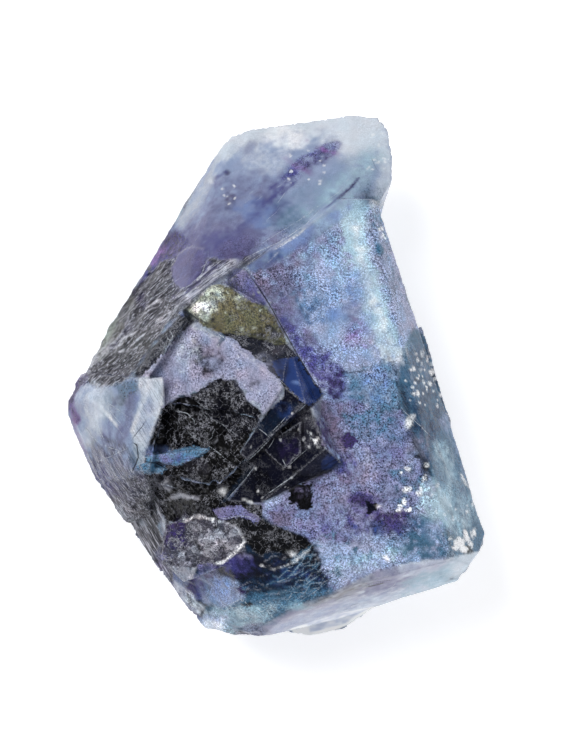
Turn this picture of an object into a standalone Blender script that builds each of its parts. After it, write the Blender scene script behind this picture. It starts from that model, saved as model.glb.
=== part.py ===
"""Fluorite specimen: one broken lump of clear to violet crystal with a stepped cube on its back.

Everything is laid out in millimetres, looking straight down on the specimen as it
rests on its flat underside (X right, Y up the long side, Z towards the viewer), and
scaled to metres at the end.
"""

from math import cos, radians, sin

import bmesh
import bpy
from mathutils import Matrix, Vector, noise

MM = 0.001
NODE = "fluorite_crystal"
FLUORITE_COLOUR = (0.40, 0.42, 0.62, 1.0)
FLUORITE_ROUGHNESS = 0.25

# ---- driving dimensions, mm -------------------------------------------------------

# plan of the flat underside that the lump rests on
BASE_RING = [(-16, 0), (-8, 12), (4, 16), (11, 9), (17, -13), (12, -22), (-4, -24), (-14, -13)]

# widest outline of the large crystal: x, y and the height of the rim there
RIM_RING = [
    (11.6, 20.1, 18.0), (14.6, 11.5, 17.5), (16.6, 4.8, 15.5), (20.2, -7.0, 13.5),
    (22.6, -13.5, 13.0), (24.1, -18.2, 12.5), (23.5, -20.3, 12.0), (21.0, -23.7, 12.0),
    (13.2, -26.2, 12.0), (7.5, -28.0, 12.0), (-0.6, -30.0, 10.5), (-4.5, -30.1, 9.0),
    (-8.0, -29.1, 9.0), (-10.4, -26.6, 10.0), (-15.6, -20.6, 10.0), (-19.8, -13.6, 10.5),
    (-23.4, -5.4, 11.0), (-22.2, 0.3, 10.0), (-19.0, 5.8, 9.5), (-13.4, 14.8, 9.0),
    (-9.8, 20.3, 9.0),
]
OVERBUILD = 34.0
OVERBUILD_TAPER = 0.97

# slopes (dz/dx, dz/dy) and one point of each broad face
PALE_FACE = (Vector((4.95, -2.3, 22.0)), (-0.15, -0.08))
TREAD_FACE = (Vector((-2.3, -10.0, 23.4)), (0.45, 0.0))
SCOOPED_FACE = (Vector((-1.8, -15.4, 24.0)), (0.28, 0.45))

# steep faces: a point and the outward direction as azimuth and elevation, degrees
BEVEL_FACES = {
    "bottom_edge": (Vector((14.4, -22.5, 22.2)), -72.8, 19.2),
    "right_shoulder": (Vector((14.6, 3.45, 20.1)), 14.4, 27.0),
    "right_upper": (Vector((13.6, 12.5, 19.5)), 18.0, 14.0),
    "left_lower": (Vector((-16.0, -16.0, 10.3)), 211.0, 33.0),
    "left_upper": (Vector((-17.7, 7.7, 9.4)), 148.5, 30.0),
    "bottom_corner": (Vector((-6.0, -29.9, 13.0)), 250.0, 35.0),
    "blue_band": (Vector((-2.3, 11.2, 21.9)), 122.0, 60.0),
    "behind_band": (Vector((-3.2, 12.6, 20.9)), 122.0, 25.0),
}

# the raised cube: its far top corner and the height drops of its steps
CUBE_CORNER = Vector((3.45, -3.1, 28.2))
STRIP_DROP = 0.7
PIT_DROP = 1.0
NOTCH_DROP = 1.8
TREAD_DROP = 2.6
CUBE_ALONG = Vector((0.614, 0.740, 0.276))
CUBE_ACROSS = Vector((0.675, -0.673, 0.303))

# how deep the added crystals reach into the lump
ROOT_HEIGHT = 14.0
LIP_ROOT_HEIGHT = 12.0
FOOT_SINK = 0.3

# meshing
FLAT_ANGLE = 0.5
VOXEL = 0.5
TRIANGLE_BUDGET = 8000
BASE_CUT = 0.5

# where each kind of worn surface lies
SIDE_LEAN = 0.1
FACE_SLACK = 0.25
BROAD_FACE_LEFT = -3.0
CUBE_LEFT, CUBE_RIGHT = -15.0, 6.5
CUBE_BOTTOM, CUBE_TOP = -14.5, 6.5
PIT_RIGHT, PIT_TOP = -1.5, -1.5
PIT_SLACK = (0.2, 1.0)
PLATEAU_LEFT = -9.0
SCOOP_TOP = -14.0
LOWER_FIBRES_TOP = -11.0
UPPER_FIBRES_BOTTOM, UPPER_FIBRES_TOP = 0.5, 13.0
FIBRE_FADE = 4.0
ICE_BOTTOM = 12.0

# etched squares, coarse and fine: length, width, depth and the layer of the pattern they come from
SQUARES = ((2.3, 1.7, 0.55, 0.5), (1.1, 0.9, 0.25, 7.5))

# fibres: azimuths in plan, length, width and spacing in height, and how far they stand out
LOWER_GRAIN = -59.0
UPPER_GRAIN = 36.0
FIBRE_SIZE = (9.0, 1.3, 2.6)
FIBRE_HEIGHT = 0.5
FIBRE_LUMPS = (3.0, 0.3)

# curved steps of the scooped face
SCOOP_CENTRE = (-4.0, -9.0)
SCALLOP_WIDTH = 2.6
SCALLOP_HEIGHT = 0.35
SCALLOP_SINK = 0.15
SCALLOP_DRIFT = (5.0, 1.4)

# unevenness: size and height of the lumps
SIDE_LUMPS = (5.0, 0.45)
CUBE_LUMPS = (2.0, 0.04)
ICE_LUMPS = (7.0, 0.4)
OTHER_LUMPS = (4.0, 0.3)
FINE_LUMP_SHARE = 0.45
FINE_LUMP_RATIO = 2.6


def plane_height(face, x, y):
    point, slope = face
    return point.z + slope[0] * (x - point.x) + slope[1] * (y - point.y)


def plane_normal(face):
    slope = face[1]
    return Vector((-slope[0], -slope[1], 1.0)).normalized()


def direction(azimuth, elevation):
    a, e = radians(azimuth), radians(elevation)
    return Vector((cos(e) * cos(a), cos(e) * sin(a), sin(e)))


# ---- blocks -----------------------------------------------------------------------

def hull_block(name, points, home):
    """The convex lump that wraps a handful of corner points."""
    bm = bmesh.new()
    for point in points:
        bm.verts.new(point)
    bmesh.ops.convex_hull(bm, input=bm.verts)
    loose = [v for v in bm.verts if not v.link_faces]
    bmesh.ops.delete(bm, geom=loose, context="VERTS")
    bmesh.ops.dissolve_limit(bm, angle_limit=radians(FLAT_ANGLE), verts=bm.verts, edges=bm.edges)
    bmesh.ops.recalc_face_normals(bm, faces=bm.faces)
    mesh = bpy.data.meshes.new(name)
    bm.to_mesh(mesh)
    bm.free()
    block = bpy.data.objects.new(name, mesh)
    home.objects.link(block)
    return block


def cleave(block, point, normal):
    """Split the block along a plane and throw away the side the normal points to."""
    bm = bmesh.new()
    bm.from_mesh(block.data)
    geom = bm.verts[:] + bm.edges[:] + bm.faces[:]
    cut = bmesh.ops.bisect_plane(bm, geom=geom, plane_co=point, plane_no=normal, clear_outer=True)
    rim = [e for e in cut["geom_cut"] if isinstance(e, bmesh.types.BMEdge)]
    bmesh.ops.edgeloop_fill(bm, edges=rim)
    bmesh.ops.recalc_face_normals(bm, faces=bm.faces)
    bm.to_mesh(block.data)
    bm.free()


def combine(target, tool, operation):
    boolean = target.modifiers.new(operation.lower(), "BOOLEAN")
    boolean.operation = operation
    boolean.solver = "EXACT"
    boolean.object = tool
    apply_modifiers(target)


def apply_modifiers(obj):
    graph = bpy.context.evaluated_depsgraph_get()
    baked = bpy.data.meshes.new_from_object(obj.evaluated_get(graph))
    obj.modifiers.clear()
    obj.data = baked


def large_crystal(home):
    corners = [(x, y, 0.0) for x, y in BASE_RING]
    corners += RIM_RING
    corners += [(OVERBUILD_TAPER * x, OVERBUILD_TAPER * y, OVERBUILD) for x, y, z in RIM_RING]
    block = hull_block("large_crystal", corners, home)
    for face in (PALE_FACE, TREAD_FACE, SCOOPED_FACE):
        cleave(block, face[0], plane_normal(face))
    for point, azimuth, elevation in BEVEL_FACES.values():
        cleave(block, point, direction(azimuth, elevation))
    return block


def top(x, y, drop=0.0):
    """A point of the raised cube's sloping top, or of a step that far below it."""
    z = CUBE_CORNER.z + TREAD_FACE[1][0] * (x - CUBE_CORNER.x) - drop
    return (x, y, z)


def foot(x, y):
    """A point where a wall of the cube meets the pale face."""
    return (x, y, plane_height(PALE_FACE, x, y) - FOOT_SINK)


def rooted(points, height=ROOT_HEIGHT):
    """The points and their shadow inside the lump below."""
    return list(points) + [(x, y, height) for x, y, z in points]


def dark_cube(home):
    """A cube standing out of the lump: pale plateau, dark treads, walls down to the pale face."""
    plateau = [top(-8.0, 6.1), top(-5.9, 4.4), top(0.9, -1.2), top(-1.6, -5.0), top(-6.4, -3.4),
               top(-13.2, -3.2), top(-15.0, -0.6), top(-10.4, 5.8)]
    feet = [foot(1.7, 3.6), (-2.3, 4.2, 22.0), (-6.2, 5.6, 22.0)]
    block = hull_block("plateau", rooted(plateau) + rooted(feet), home)
    strip = [top(0.9, -1.2, STRIP_DROP), top(3.45, -3.1, STRIP_DROP), top(-3.2, -9.7, STRIP_DROP),
             top(-6.4, -12.7, STRIP_DROP), top(-9.4, -9.0, STRIP_DROP)]
    strip_feet = [foot(1.7, 3.6), foot(4.95, -2.9)]
    pit = [top(-1.6, -5.0, PIT_DROP), top(-4.6, -9.2, PIT_DROP), top(-7.4, -12.6, PIT_DROP),
           top(-13.4, -11.4, PIT_DROP), top(-14.8, -3.0, PIT_DROP)]
    tread = [top(4.0, -3.6, TREAD_DROP), top(4.25, -5.7, TREAD_DROP), top(5.75, -8.3, TREAD_DROP),
             top(-1.95, -13.2, TREAD_DROP), top(-9.0, -14.2, TREAD_DROP), top(-13.4, -12.5, TREAD_DROP),
             top(-9.0, -5.0, TREAD_DROP)]
    tread_feet = [foot(4.95, -2.9), foot(7.7, -10.1), foot(2.9, -12.1), foot(-1.95, -14.9)]
    notch = [top(0.4, -8.6, NOTCH_DROP), top(1.05, -10.6, NOTCH_DROP), top(3.0, -8.8, NOTCH_DROP),
             top(3.0, -5.2, NOTCH_DROP), top(-1.6, -8.2, NOTCH_DROP)]
    for name, outline in (("edge_strip", strip + strip_feet), ("pit_floor", pit),
                          ("tread", tread + tread_feet), ("notch_step", notch)):
        combine(block, hull_block(name, rooted(outline), home), "UNION")
    return block


def blue_blades(home):
    """Two thin blades lying across the dark pit."""
    long_blade = [top(-14.6, -9.2, 0.2), top(-8.0, -8.3, 0.5), top(-8.7, -9.4, 0.5),
                  top(-10.4, -10.6, 0.6), top(-12.2, -10.4, 0.5)]
    short_blade = [top(-14.6, -10.4, 0.1), top(-12.3, -10.7, 0.3), top(-12.6, -11.6, 0.4),
                   top(-14.6, -11.3, 0.2)]
    block = hull_block("long_blade", rooted(long_blade), home)
    combine(block, hull_block("short_blade", rooted(short_blade), home), "UNION")
    return block


def olive_ledge(home):
    """The rough facet that falls gently from the cube's upper corner to the pale face."""
    outline = [(-8.1, 6.2, 23.2), (-9.9, 7.2, 22.9), (-7.1, 10.3, 22.7), (-5.2, 10.2, 22.8),
               (-1.5, 8.1, 22.7), (1.7, 3.8, 22.1), (-2.3, 4.4, 22.9), (-5.8, 4.5, 23.4)]
    return hull_block("olive_ledge", rooted(outline), home)


def violet_ridge(home):
    """The low dark facets between the olive ledge and the pale face."""
    outline = [(-5.8, 10.3, 22.2), (-3.5, 12.2, 21.9), (-1.9, 9.9, 22.4), (0.7, 5.9, 22.35),
               (1.9, 3.6, 22.1), (-1.0, 6.0, 22.2)]
    return hull_block("violet_ridge", rooted(outline), home)


def ice_block(home):
    crest = [(-10.6, 7.4, 22.2), (-7.2, 10.8, 21.9), (-3.3, 12.9, 21.0), (2.0, 16.2, 20.1),
             (7.2, 19.4, 19.0), (11.0, 21.4, 17.4)]
    knob = [(12.2, 20.3, 16.6), (13.35, 22.4, 15.8), (13.5, 25.0, 15.0), (12.9, 28.4, 13.5),
            (11.9, 29.6, 13.0), (9.0, 30.0, 13.2)]
    rim = [(3.6, 29.2, 12.0), (-2.9, 28.3, 10.5), (-5.0, 27.6, 9.8), (-6.3, 26.2, 9.4),
           (-8.1, 22.6, 9.2), (-11.9, 16.9, 9.0), (-13.4, 14.9, 9.0), (-15.6, 11.0, 10.0)]
    keel = [(-8, 12, 0.0), (4, 16, 0.0), (10.5, 12.0, 1.0), (9.0, 24.0, 5.5),
            (-2.0, 23.0, 4.5), (12.0, 21.0, 8.0)]
    return hull_block("ice_block", crest + knob + rim + keel, home)


def left_lobe(home):
    """The pale lobe on the left, its thumb over the plateau and its tail down the fibrous slope."""
    rim = [(-23.8, -2.9, 12.0), (-23.2, -6.6, 11.5), (-22.4, 0.2, 11.5), (-20.6, -12.0, 12.5),
           (-23.9, -4.5, 12.0)]
    crown = [(-12.7, -0.4, 22.6), (-12.6, -4.0, 22.7), (-14.2, -10.6, 21.4), (-16.6, -0.2, 22.0),
             (-16.2, -11.0, 20.6), (-19.5, -2.0, 18.6), (-19.2, -9.5, 17.4)]
    inside = [(-14, -1, 8.0), (-14, -10, 8.0), (-20, -4, 8.5), (-16.0, -15.4, 7.0)]
    tail = [(-18.6, -14.0, 11.0), (-17.0, -17.0, 10.6), (-14.4, -16.4, 12.2), (-13.6, -13.4, 15.5)]
    return hull_block("left_lobe", rim + crown + inside + tail, home)


def silky_lip(home):
    """The fibrous ridge above the plateau's upper left edge."""
    lip = [(-9.9, 6.2, 23.8), (-11.7, 4.1, 23.3), (-14.5, -0.2, 22.2), (-15.6, 0.2, 21.2),
           (-10.6, 7.4, 22.6)]
    slope = [(-21.8, 0.6, 10.5), (-19.0, 5.6, 10.0), (-15.0, 12.0, 10.0), (-20.6, 0.4, 12.6)]
    return hull_block("silky_lip", rooted(lip, LIP_ROOT_HEIGHT) + slope, home)


def lower_lump(home):
    """The whitish lump between the fibrous slope and the scooped face."""
    crown = [(-12.2, -16.6, 20.6), (-5.6, -17.0, 21.4), (-3.7, -19.0, 21.0), (-5.8, -21.8, 20.0),
             (-10.4, -23.6, 18.2), (-13.0, -21.0, 18.2)]
    return hull_block("lower_lump", rooted(crown), home)


def right_shoulder(home):
    """The teal step that stands out of the right side."""
    brow = [(16.9, 5.6, 14.6), (18.5, 0.4, 13.9), (20.9, -8.6, 12.6), (21.6, -12.0, 12.6)]
    under = [(16.4, 5.0, 11.2), (18.6, -4.0, 9.4), (19.6, -10.5, 9.8)]
    inside = [(12.5, 4.2, 17.0), (12.0, 3.6, 7.0), (17.0, -12.5, 17.0), (14.0, -12.0, 6.0)]
    return hull_block("right_shoulder", brow + under + inside, home)


def bottom_ledge(home):
    """The thin clear ledge under the bottom bevel."""
    brow = [(0.4, -29.6, 6.8), (4.2, -30.2, 7.4), (8.0, -29.3, 8.2), (11.2, -27.0, 9.8)]
    under = [(1.6, -28.8, 4.2), (6.6, -28.2, 4.4), (10.6, -26.0, 6.4)]
    inside = [(-1.0, -23.5, 1.5), (12.0, -21.5, 4.0), (0.0, -25.0, 11.5), (12.0, -24.0, 14.0)]
    return hull_block("bottom_ledge", brow + under + inside, home)


# ---- weathering -------------------------------------------------------------------

def remesh(obj):
    """Even cells all over, so that the surface can be worn."""
    voxels = obj.modifiers.new("voxels", "REMESH")
    voxels.mode = "VOXEL"
    voxels.voxel_size = VOXEL
    apply_modifiers(obj)


def etched_squares(p):
    """Square terraces that follow the cube's own edges."""
    along = (p - CUBE_CORNER).dot(CUBE_ALONG)
    across = (p - CUBE_CORNER).dot(CUBE_ACROSS)
    sunk = 0.0
    for length, width, depth, layer in SQUARES:
        sunk += depth * noise.cell(Vector((along / length, across / width, layer)))
    return -sunk


def fibres(p, azimuth):
    """Ridges along one direction in plan, uneven in width and broken along their length."""
    turned = Matrix.Rotation(-radians(azimuth), 3, "Z") @ p
    stretched = Vector([turned[axis] / FIBRE_SIZE[axis] for axis in range(3)])
    size, height = FIBRE_LUMPS
    return FIBRE_HEIGHT * noise.noise(stretched) + height * noise.noise(p / size)


def scallops(p):
    """Curved steps round the point that the scooped face was struck from."""
    reach = (p.xy - Vector(SCOOP_CENTRE)).length
    size, drift = SCALLOP_DRIFT
    wave = (reach + drift * noise.noise(p / size)) / SCALLOP_WIDTH
    return SCALLOP_HEIGHT * (wave - int(wave)) - SCALLOP_SINK


def lumps(p, size, height):
    """Gentle unevenness with a finer one over it."""
    return height * (noise.noise(p / size) + FINE_LUMP_SHARE * noise.noise(FINE_LUMP_RATIO * p / size))


def lies_on(face, p):
    return abs(p.z - plane_height(face, p.x, p.y)) < FACE_SLACK


def in_cube(p):
    return CUBE_LEFT < p.x < CUBE_RIGHT and CUBE_BOTTOM < p.y < CUBE_TOP


def in_pit(p):
    """True on the dark steps inside the cube, between the pit floor and the treads."""
    below_top = top(p.x, p.y)[2] - p.z
    level = PIT_DROP - PIT_SLACK[0] < below_top < TREAD_DROP + PIT_SLACK[1]
    return in_cube(p) and p.x < PIT_RIGHT and p.y < PIT_TOP and level


def relief(p, normal):
    """How far the worn surface stands out at a point, mm."""
    if p.z < BASE_CUT:
        return 0.0
    if normal.z < SIDE_LEAN:
        return lumps(p, *SIDE_LUMPS)
    if lies_on(PALE_FACE, p) and p.x > BROAD_FACE_LEFT:
        return 0.0
    if in_pit(p):
        return etched_squares(p)
    if in_cube(p) and p.x > PLATEAU_LEFT:
        return lumps(p, *CUBE_LUMPS)
    if lies_on(SCOOPED_FACE, p) and p.y < SCOOP_TOP:
        return scallops(p)
    if p.x < PLATEAU_LEFT and p.y < LOWER_FIBRES_TOP:
        return fibres(p, LOWER_GRAIN)
    if p.x < PLATEAU_LEFT and UPPER_FIBRES_BOTTOM < p.y < UPPER_FIBRES_TOP:
        return fibres(p, UPPER_GRAIN) * min(1.0, (UPPER_FIBRES_TOP - p.y) / FIBRE_FADE)
    if p.y > ICE_BOTTOM:
        return lumps(p, *ICE_LUMPS)
    return lumps(p, *OTHER_LUMPS)


def weather(obj):
    verts = obj.data.vertices
    moves = [relief(v.co, v.normal) * v.normal for v in verts]
    for vertex, move in zip(verts, moves):
        vertex.co += move


def thin_out(obj):
    """Fewer triangles where the faces are flat."""
    thin = obj.modifiers.new("thin", "DECIMATE")
    thin.ratio = TRIANGLE_BUDGET / sum(len(p.vertices) - 2 for p in obj.data.polygons)
    thin.use_collapse_triangulate = True
    apply_modifiers(obj)


def flatten_base(obj):
    """Cut the underside flat and set it on the ground, centred on the lump's outline."""
    cleave(obj, Vector((0.0, 0.0, BASE_CUT)), Vector((0.0, 0.0, -1.0)))
    xs = [v.co.x for v in obj.data.vertices]
    ys = [v.co.y for v in obj.data.vertices]
    centre = Vector(((min(xs) + max(xs)) / 2, (min(ys) + max(ys)) / 2, BASE_CUT))
    obj.data.transform(Matrix.Translation(-centre))


# ---- the finished lump ------------------------------------------------------------

def build(home, tools):
    lump = large_crystal(home)
    for maker in (ice_block, dark_cube, blue_blades, olive_ledge, violet_ridge, left_lobe, silky_lip,
                  lower_lump, right_shoulder, bottom_ledge):
        combine(lump, maker(tools), "UNION")
    remesh(lump)
    weather(lump)
    thin_out(lump)
    flatten_base(lump)
    lump.name = NODE
    lump.data.name = NODE
    return lump


def crystal_material():
    mat = bpy.data.materials.new("fluorite")
    mat.use_nodes = True
    shader = mat.node_tree.nodes["Principled BSDF"]
    shader.inputs["Base Color"].default_value = FLUORITE_COLOUR
    shader.inputs["Roughness"].default_value = FLUORITE_ROUGHNESS
    shader.inputs["Metallic"].default_value = 0.0
    mat.diffuse_color = FLUORITE_COLOUR
    return mat


def main():
    for obj in list(bpy.data.objects):
        bpy.data.objects.remove(obj, do_unlink=True)
    home = bpy.data.collections.new("fluorite")
    tools = bpy.data.collections.new("fluorite_blocks")
    bpy.context.scene.collection.children.link(home)
    bpy.context.scene.collection.children.link(tools)
    lump = build(home, tools)
    for block in tools.objects:
        block.hide_render = True
        block.display_type = "WIRE"
    lump.data.materials.clear()
    lump.data.materials.append(crystal_material())
    lump.data.transform(Matrix.Scale(MM, 4))


main()
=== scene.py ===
"""Fluorite specimen, dressed for display: the lump's worn surface, its crystal finish and a plain studio.

The plan of the lump is drawn on a grid of 0.115 mm steps, u to the right and v down the
sheet, and the strokes below that colour and shape the surface are given on that grid.
Heights and reliefs are in millimetres. The finished piece is in metres.
"""

from math import cos, radians, sin

import bmesh
import bpy
import numpy as np
from bpy.props import FloatProperty, FloatVectorProperty, IntProperty, PointerProperty
from mathutils import Matrix, Vector
from mathutils.bvhtree import BVHTree


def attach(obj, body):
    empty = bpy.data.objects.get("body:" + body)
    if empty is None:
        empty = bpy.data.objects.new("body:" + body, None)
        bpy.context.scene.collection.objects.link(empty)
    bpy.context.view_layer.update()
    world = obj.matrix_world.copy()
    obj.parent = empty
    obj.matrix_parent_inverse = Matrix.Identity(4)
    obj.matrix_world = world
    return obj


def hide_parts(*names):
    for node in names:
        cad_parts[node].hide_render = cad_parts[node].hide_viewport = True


bl_info = {
    "name": "Fluorite specimen",
    "version": (1, 0, 0),
    "blender": (4, 5, 0),
    "location": "View3D > Sidebar > Fluorite",
    "description": "Builds a broken lump of banded fluorite and a plain studio round it",
    "category": "Add Mesh",
}

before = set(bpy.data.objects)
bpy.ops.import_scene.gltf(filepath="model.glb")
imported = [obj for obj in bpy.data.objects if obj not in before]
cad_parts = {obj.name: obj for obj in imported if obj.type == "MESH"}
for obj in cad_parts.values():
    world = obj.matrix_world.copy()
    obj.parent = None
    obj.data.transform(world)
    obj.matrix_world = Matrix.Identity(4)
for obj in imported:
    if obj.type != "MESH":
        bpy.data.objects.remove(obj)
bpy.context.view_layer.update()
NODE = "fluorite_crystal"

MM = 0.001
PLAN_STEP = 0.115
PLAN_ORIGIN = (275.0, 375.0)
LUMP_CENTRE = Vector((0.2208, -0.1692, 0.5))


def linear(code):
    """A colour written as six hex digits, as the linear values that shaders use."""
    parts = [int(code[i:i + 2], 16) / 255 for i in (0, 2, 4)]
    return tuple(c / 12.92 if c <= 0.04045 else ((c + 0.055) / 1.055) ** 2.4 for c in parts)


# ---- settings ---------------------------------------------------------------------

def tone(name, code, description):
    return FloatVectorProperty(name=name, description=description, subtype="COLOR", size=3,
                               min=0.0, max=1.0, default=linear(code))


def number(name, description, default, **limits):
    return FloatProperty(name=name, description=description, default=default, **limits)


LENGTH = {"subtype": "DISTANCE", "unit": "LENGTH"}


class FLUORITE_PG_tones(bpy.types.PropertyGroup):
    """The colours that the crystal is painted with."""

    frost: tone("Frost", "f6f8fb", "Crushed white of chips and fresh edges")
    # ice is the thin clear edges' own pale colour together with a painted glow of the light that comes
    # through them
    ice: tone("Ice", "d6dfea", "Clear thin edges")
    mist: tone("Mist", "909fbf", "Pale blue of the broad face")
    sky: tone("Sky", "748ec2", "Bright blue patches")
    # cyan on the broad face is a painted glow, a band of light seen through the crystal; elsewhere it is a
    # pale blue-green zone
    cyan: tone("Cyan", "adcbdb", "Glowing band across the broad face")
    teal: tone("Teal", "456a86", "Green-blue of the right shoulder")
    sea: tone("Sea", "0f2339", "Deep green-blue of the scooped face")
    lavender: tone("Lavender", "9799b3", "Plateau of the raised cube")
    lilac: tone("Lilac", "64638a", "Grey violet clouds")
    violet: tone("Violet", "413f7d", "Strong violet zones")
    plum: tone("Plum", "2c224f", "Darkest purple veins")
    magenta: tone("Magenta", "7a5d98", "Pinkish purple rims")
    azure: tone("Azure", "24396f", "Blue mirror facet")
    navy: tone("Navy", "060818", "Near-black blue of the steps")
    soot: tone("Soot", "020204", "Black of the etched pits")
    smoke: tone("Smoke", "3b3a44", "Grey of the fibrous slopes")
    # silver is painted light for the most part: the sheen along the fibres and highlights on crests and
    # broken edges
    silver: tone("Silver", "c0c2ce", "Bright fibres and broken edges")
    olive: tone("Olive", "56543d", "Green-brown ledge")
    celadon: tone("Celadon", "aab2a5", "Pale green crest of the ledge")
    umber: tone("Umber", "615c76", "Brownish violet dusting")


class FLUORITE_PG_shape(bpy.types.PropertyGroup):
    """Sizes of the lump's mesh and of its wear."""

    voxel: number("Cell size", "Grid of the worn surface, mm", 0.25, min=0.15, max=1.0)
    triangles: IntProperty(name="Triangles", description="Most triangles in the finished lump",
                           default=194000, min=20000, max=199000)
    wear: number("Wear", "Scale of all the surface relief", 1.0, min=0.0, max=2.0, subtype="FACTOR")


class FLUORITE_PG_optics(bpy.types.PropertyGroup):
    """How light goes through the crystal."""

    ior: number("Refractive index", "Refractive index of fluorite", 1.434, min=1.0, max=2.0)
    absorption: tone("Body colour", "a9c3dd", "Colour that deep crystal takes on")
    density: number("Absorption", "Strength of the body colour, per metre", 30.0, min=0.0, max=500.0)
    bump: number("Bump height", "Height of the finest relief", 0.00004, min=0.0, max=0.001, **LENGTH)


class FLUORITE_PG_studio(bpy.types.PropertyGroup):
    """Camera, floor and lights."""

    distance: number("Camera height", "Height of the camera above the floor", 0.8, **LENGTH)
    frame_height: number("Field height", "Long side of the field of view at mid-height of the lump", 0.08625,
                         **LENGTH)
    aim: FloatVectorProperty(name="Aim", description="Point that the camera looks straight down at", size=3,
                             default=(0.00053, 0.00017, 0.012), subtype="TRANSLATION", unit="LENGTH")
    floor: tone("Floor", "f6f6f8", "Colour of the floor")
    glow: number("Floor glow", "Light that the floor gives off by itself", 0.49, min=0.0)
    key_power: number("Key light", "Power of the key light, watts", 2.5, min=0.0)
    fill_power: number("Fill light", "Power of the fill light, watts", 1.7, min=0.0)
    ambient: number("Ambient", "Brightness of the walls round the studio", 0.48, min=0.0)
    ceiling: number("Ceiling", "Brightness straight overhead", 0.12, min=0.0)


# ---- the lump's blocks, mm ---------------------------------------------------------

BASE_RING = [(-16, 0), (-8, 12), (4, 16), (11, 9), (17, -13), (12, -22), (-4, -24), (-14, -13)]
RIM_RING = [
    (11.6, 20.1, 18.0), (14.6, 11.5, 17.5), (16.6, 4.8, 15.5), (20.2, -7.0, 13.5),
    (22.6, -13.5, 13.0), (24.1, -18.2, 12.5), (23.5, -20.3, 12.0), (21.0, -23.7, 12.0),
    (13.2, -26.2, 12.0), (7.5, -28.0, 12.0), (-0.6, -30.0, 10.5), (-4.5, -30.1, 9.0),
    (-8.0, -29.1, 9.0), (-10.4, -26.6, 10.0), (-15.6, -20.6, 10.0), (-19.8, -13.6, 10.5),
    (-23.4, -5.4, 11.0), (-22.2, 0.3, 10.0), (-19.0, 5.8, 9.5), (-13.4, 14.8, 9.0),
    (-9.8, 20.3, 9.0),
]
OVERBUILD = 34.0
PALE_FACE = (Vector((4.95, -2.3, 22.0)), (-0.15, -0.08))
TREAD_FACE = (Vector((-2.3, -10.0, 23.4)), (0.45, 0.0))
SCOOPED_FACE = (Vector((-1.8, -15.4, 24.0)), (0.28, 0.45))
BEVEL_FACES = {
    "bottom_edge": (Vector((14.4, -22.5, 22.2)), -72.8, 19.2),
    "right_shoulder": (Vector((14.6, 3.45, 20.1)), 14.4, 27.0),
    "right_upper": (Vector((13.6, 12.5, 19.5)), 18.0, 14.0),
    "left_lower": (Vector((-16.0, -16.0, 10.3)), 211.0, 33.0),
    "left_upper": (Vector((-17.7, 7.7, 9.4)), 148.5, 30.0),
    "bottom_corner": (Vector((-6.0, -29.9, 13.0)), 250.0, 35.0),
    "blue_band": (Vector((-2.3, 11.2, 21.9)), 122.0, 60.0),
    "behind_band": (Vector((-3.2, 12.6, 20.9)), 122.0, 25.0),
}
CUBE_CORNER = Vector((3.45, -3.1, 28.2))
STRIP_DROP = 0.7
PIT_DROP = 1.0
NOTCH_DROP = 1.8
TREAD_DROP = 2.6
CUBE_ALONG = Vector((0.614, 0.740, 0.276))
CUBE_ACROSS = Vector((0.675, -0.673, 0.303))
SCOOP_CENTRE = (-4.0, -9.0)
LOWER_GRAIN = -59.0
UPPER_GRAIN = 36.0

# heights where the added crystals' roots end inside the lump, and how far a foot sinks below the pale face
ROOT_HEIGHT = 14.0
LIP_ROOT_HEIGHT = 12.0
FOOT_SINK = 0.3
# largest bend that counts as flat, degrees, and the size of the uncut block's top against its rim
FLAT_ANGLE = 0.5
TOP_SHRINK = 0.97

# how far above the cut underside a point has to be to move
BASE_SLACK = 0.01

# the sides and the underside are thinned: below this upward lean, over this range, in this many levels
THIN_FROM, THIN_OVER, THIN_LEVELS = 0.32, 0.5, 10


def plane_height(face, x, y):
    point, slope = face
    return point.z + slope[0] * (x - point.x) + slope[1] * (y - point.y)


def plane_normal(face):
    slope = face[1]
    return Vector((-slope[0], -slope[1], 1.0)).normalized()


def direction(azimuth, elevation):
    a, e = radians(azimuth), radians(elevation)
    return Vector((cos(e) * cos(a), cos(e) * sin(a), sin(e)))


def hull_block(name, points):
    """The convex lump that wraps a handful of corner points."""
    bm = bmesh.new()
    for point in points:
        bm.verts.new(point)
    bmesh.ops.convex_hull(bm, input=bm.verts)
    loose = [v for v in bm.verts if not v.link_faces]
    bmesh.ops.delete(bm, geom=loose, context="VERTS")
    bmesh.ops.dissolve_limit(bm, angle_limit=radians(FLAT_ANGLE), verts=bm.verts, edges=bm.edges)
    bmesh.ops.recalc_face_normals(bm, faces=bm.faces)
    mesh = bpy.data.meshes.new(name)
    bm.to_mesh(mesh)
    bm.free()
    block = bpy.data.objects.new(name, mesh)
    bpy.context.scene.collection.objects.link(block)
    return block


def cleave(block, point, normal):
    """Split the block along a plane and throw away the side the normal points to."""
    bm = bmesh.new()
    bm.from_mesh(block.data)
    geom = bm.verts[:] + bm.edges[:] + bm.faces[:]
    cut = bmesh.ops.bisect_plane(bm, geom=geom, plane_co=point, plane_no=normal, clear_outer=True)
    rim = [e for e in cut["geom_cut"] if isinstance(e, bmesh.types.BMEdge)]
    bmesh.ops.edgeloop_fill(bm, edges=rim)
    bmesh.ops.recalc_face_normals(bm, faces=bm.faces)
    bm.to_mesh(block.data)
    bm.free()


def apply_modifiers(obj):
    graph = bpy.context.evaluated_depsgraph_get()
    baked = bpy.data.meshes.new_from_object(obj.evaluated_get(graph))
    obj.modifiers.clear()
    obj.data = baked


def join(target, block):
    """Melt a block into the target and drop the block."""
    union = target.modifiers.new("union", "BOOLEAN")
    union.operation = "UNION"
    union.solver = "EXACT"
    union.object = block
    apply_modifiers(target)
    bpy.data.objects.remove(block)


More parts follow.
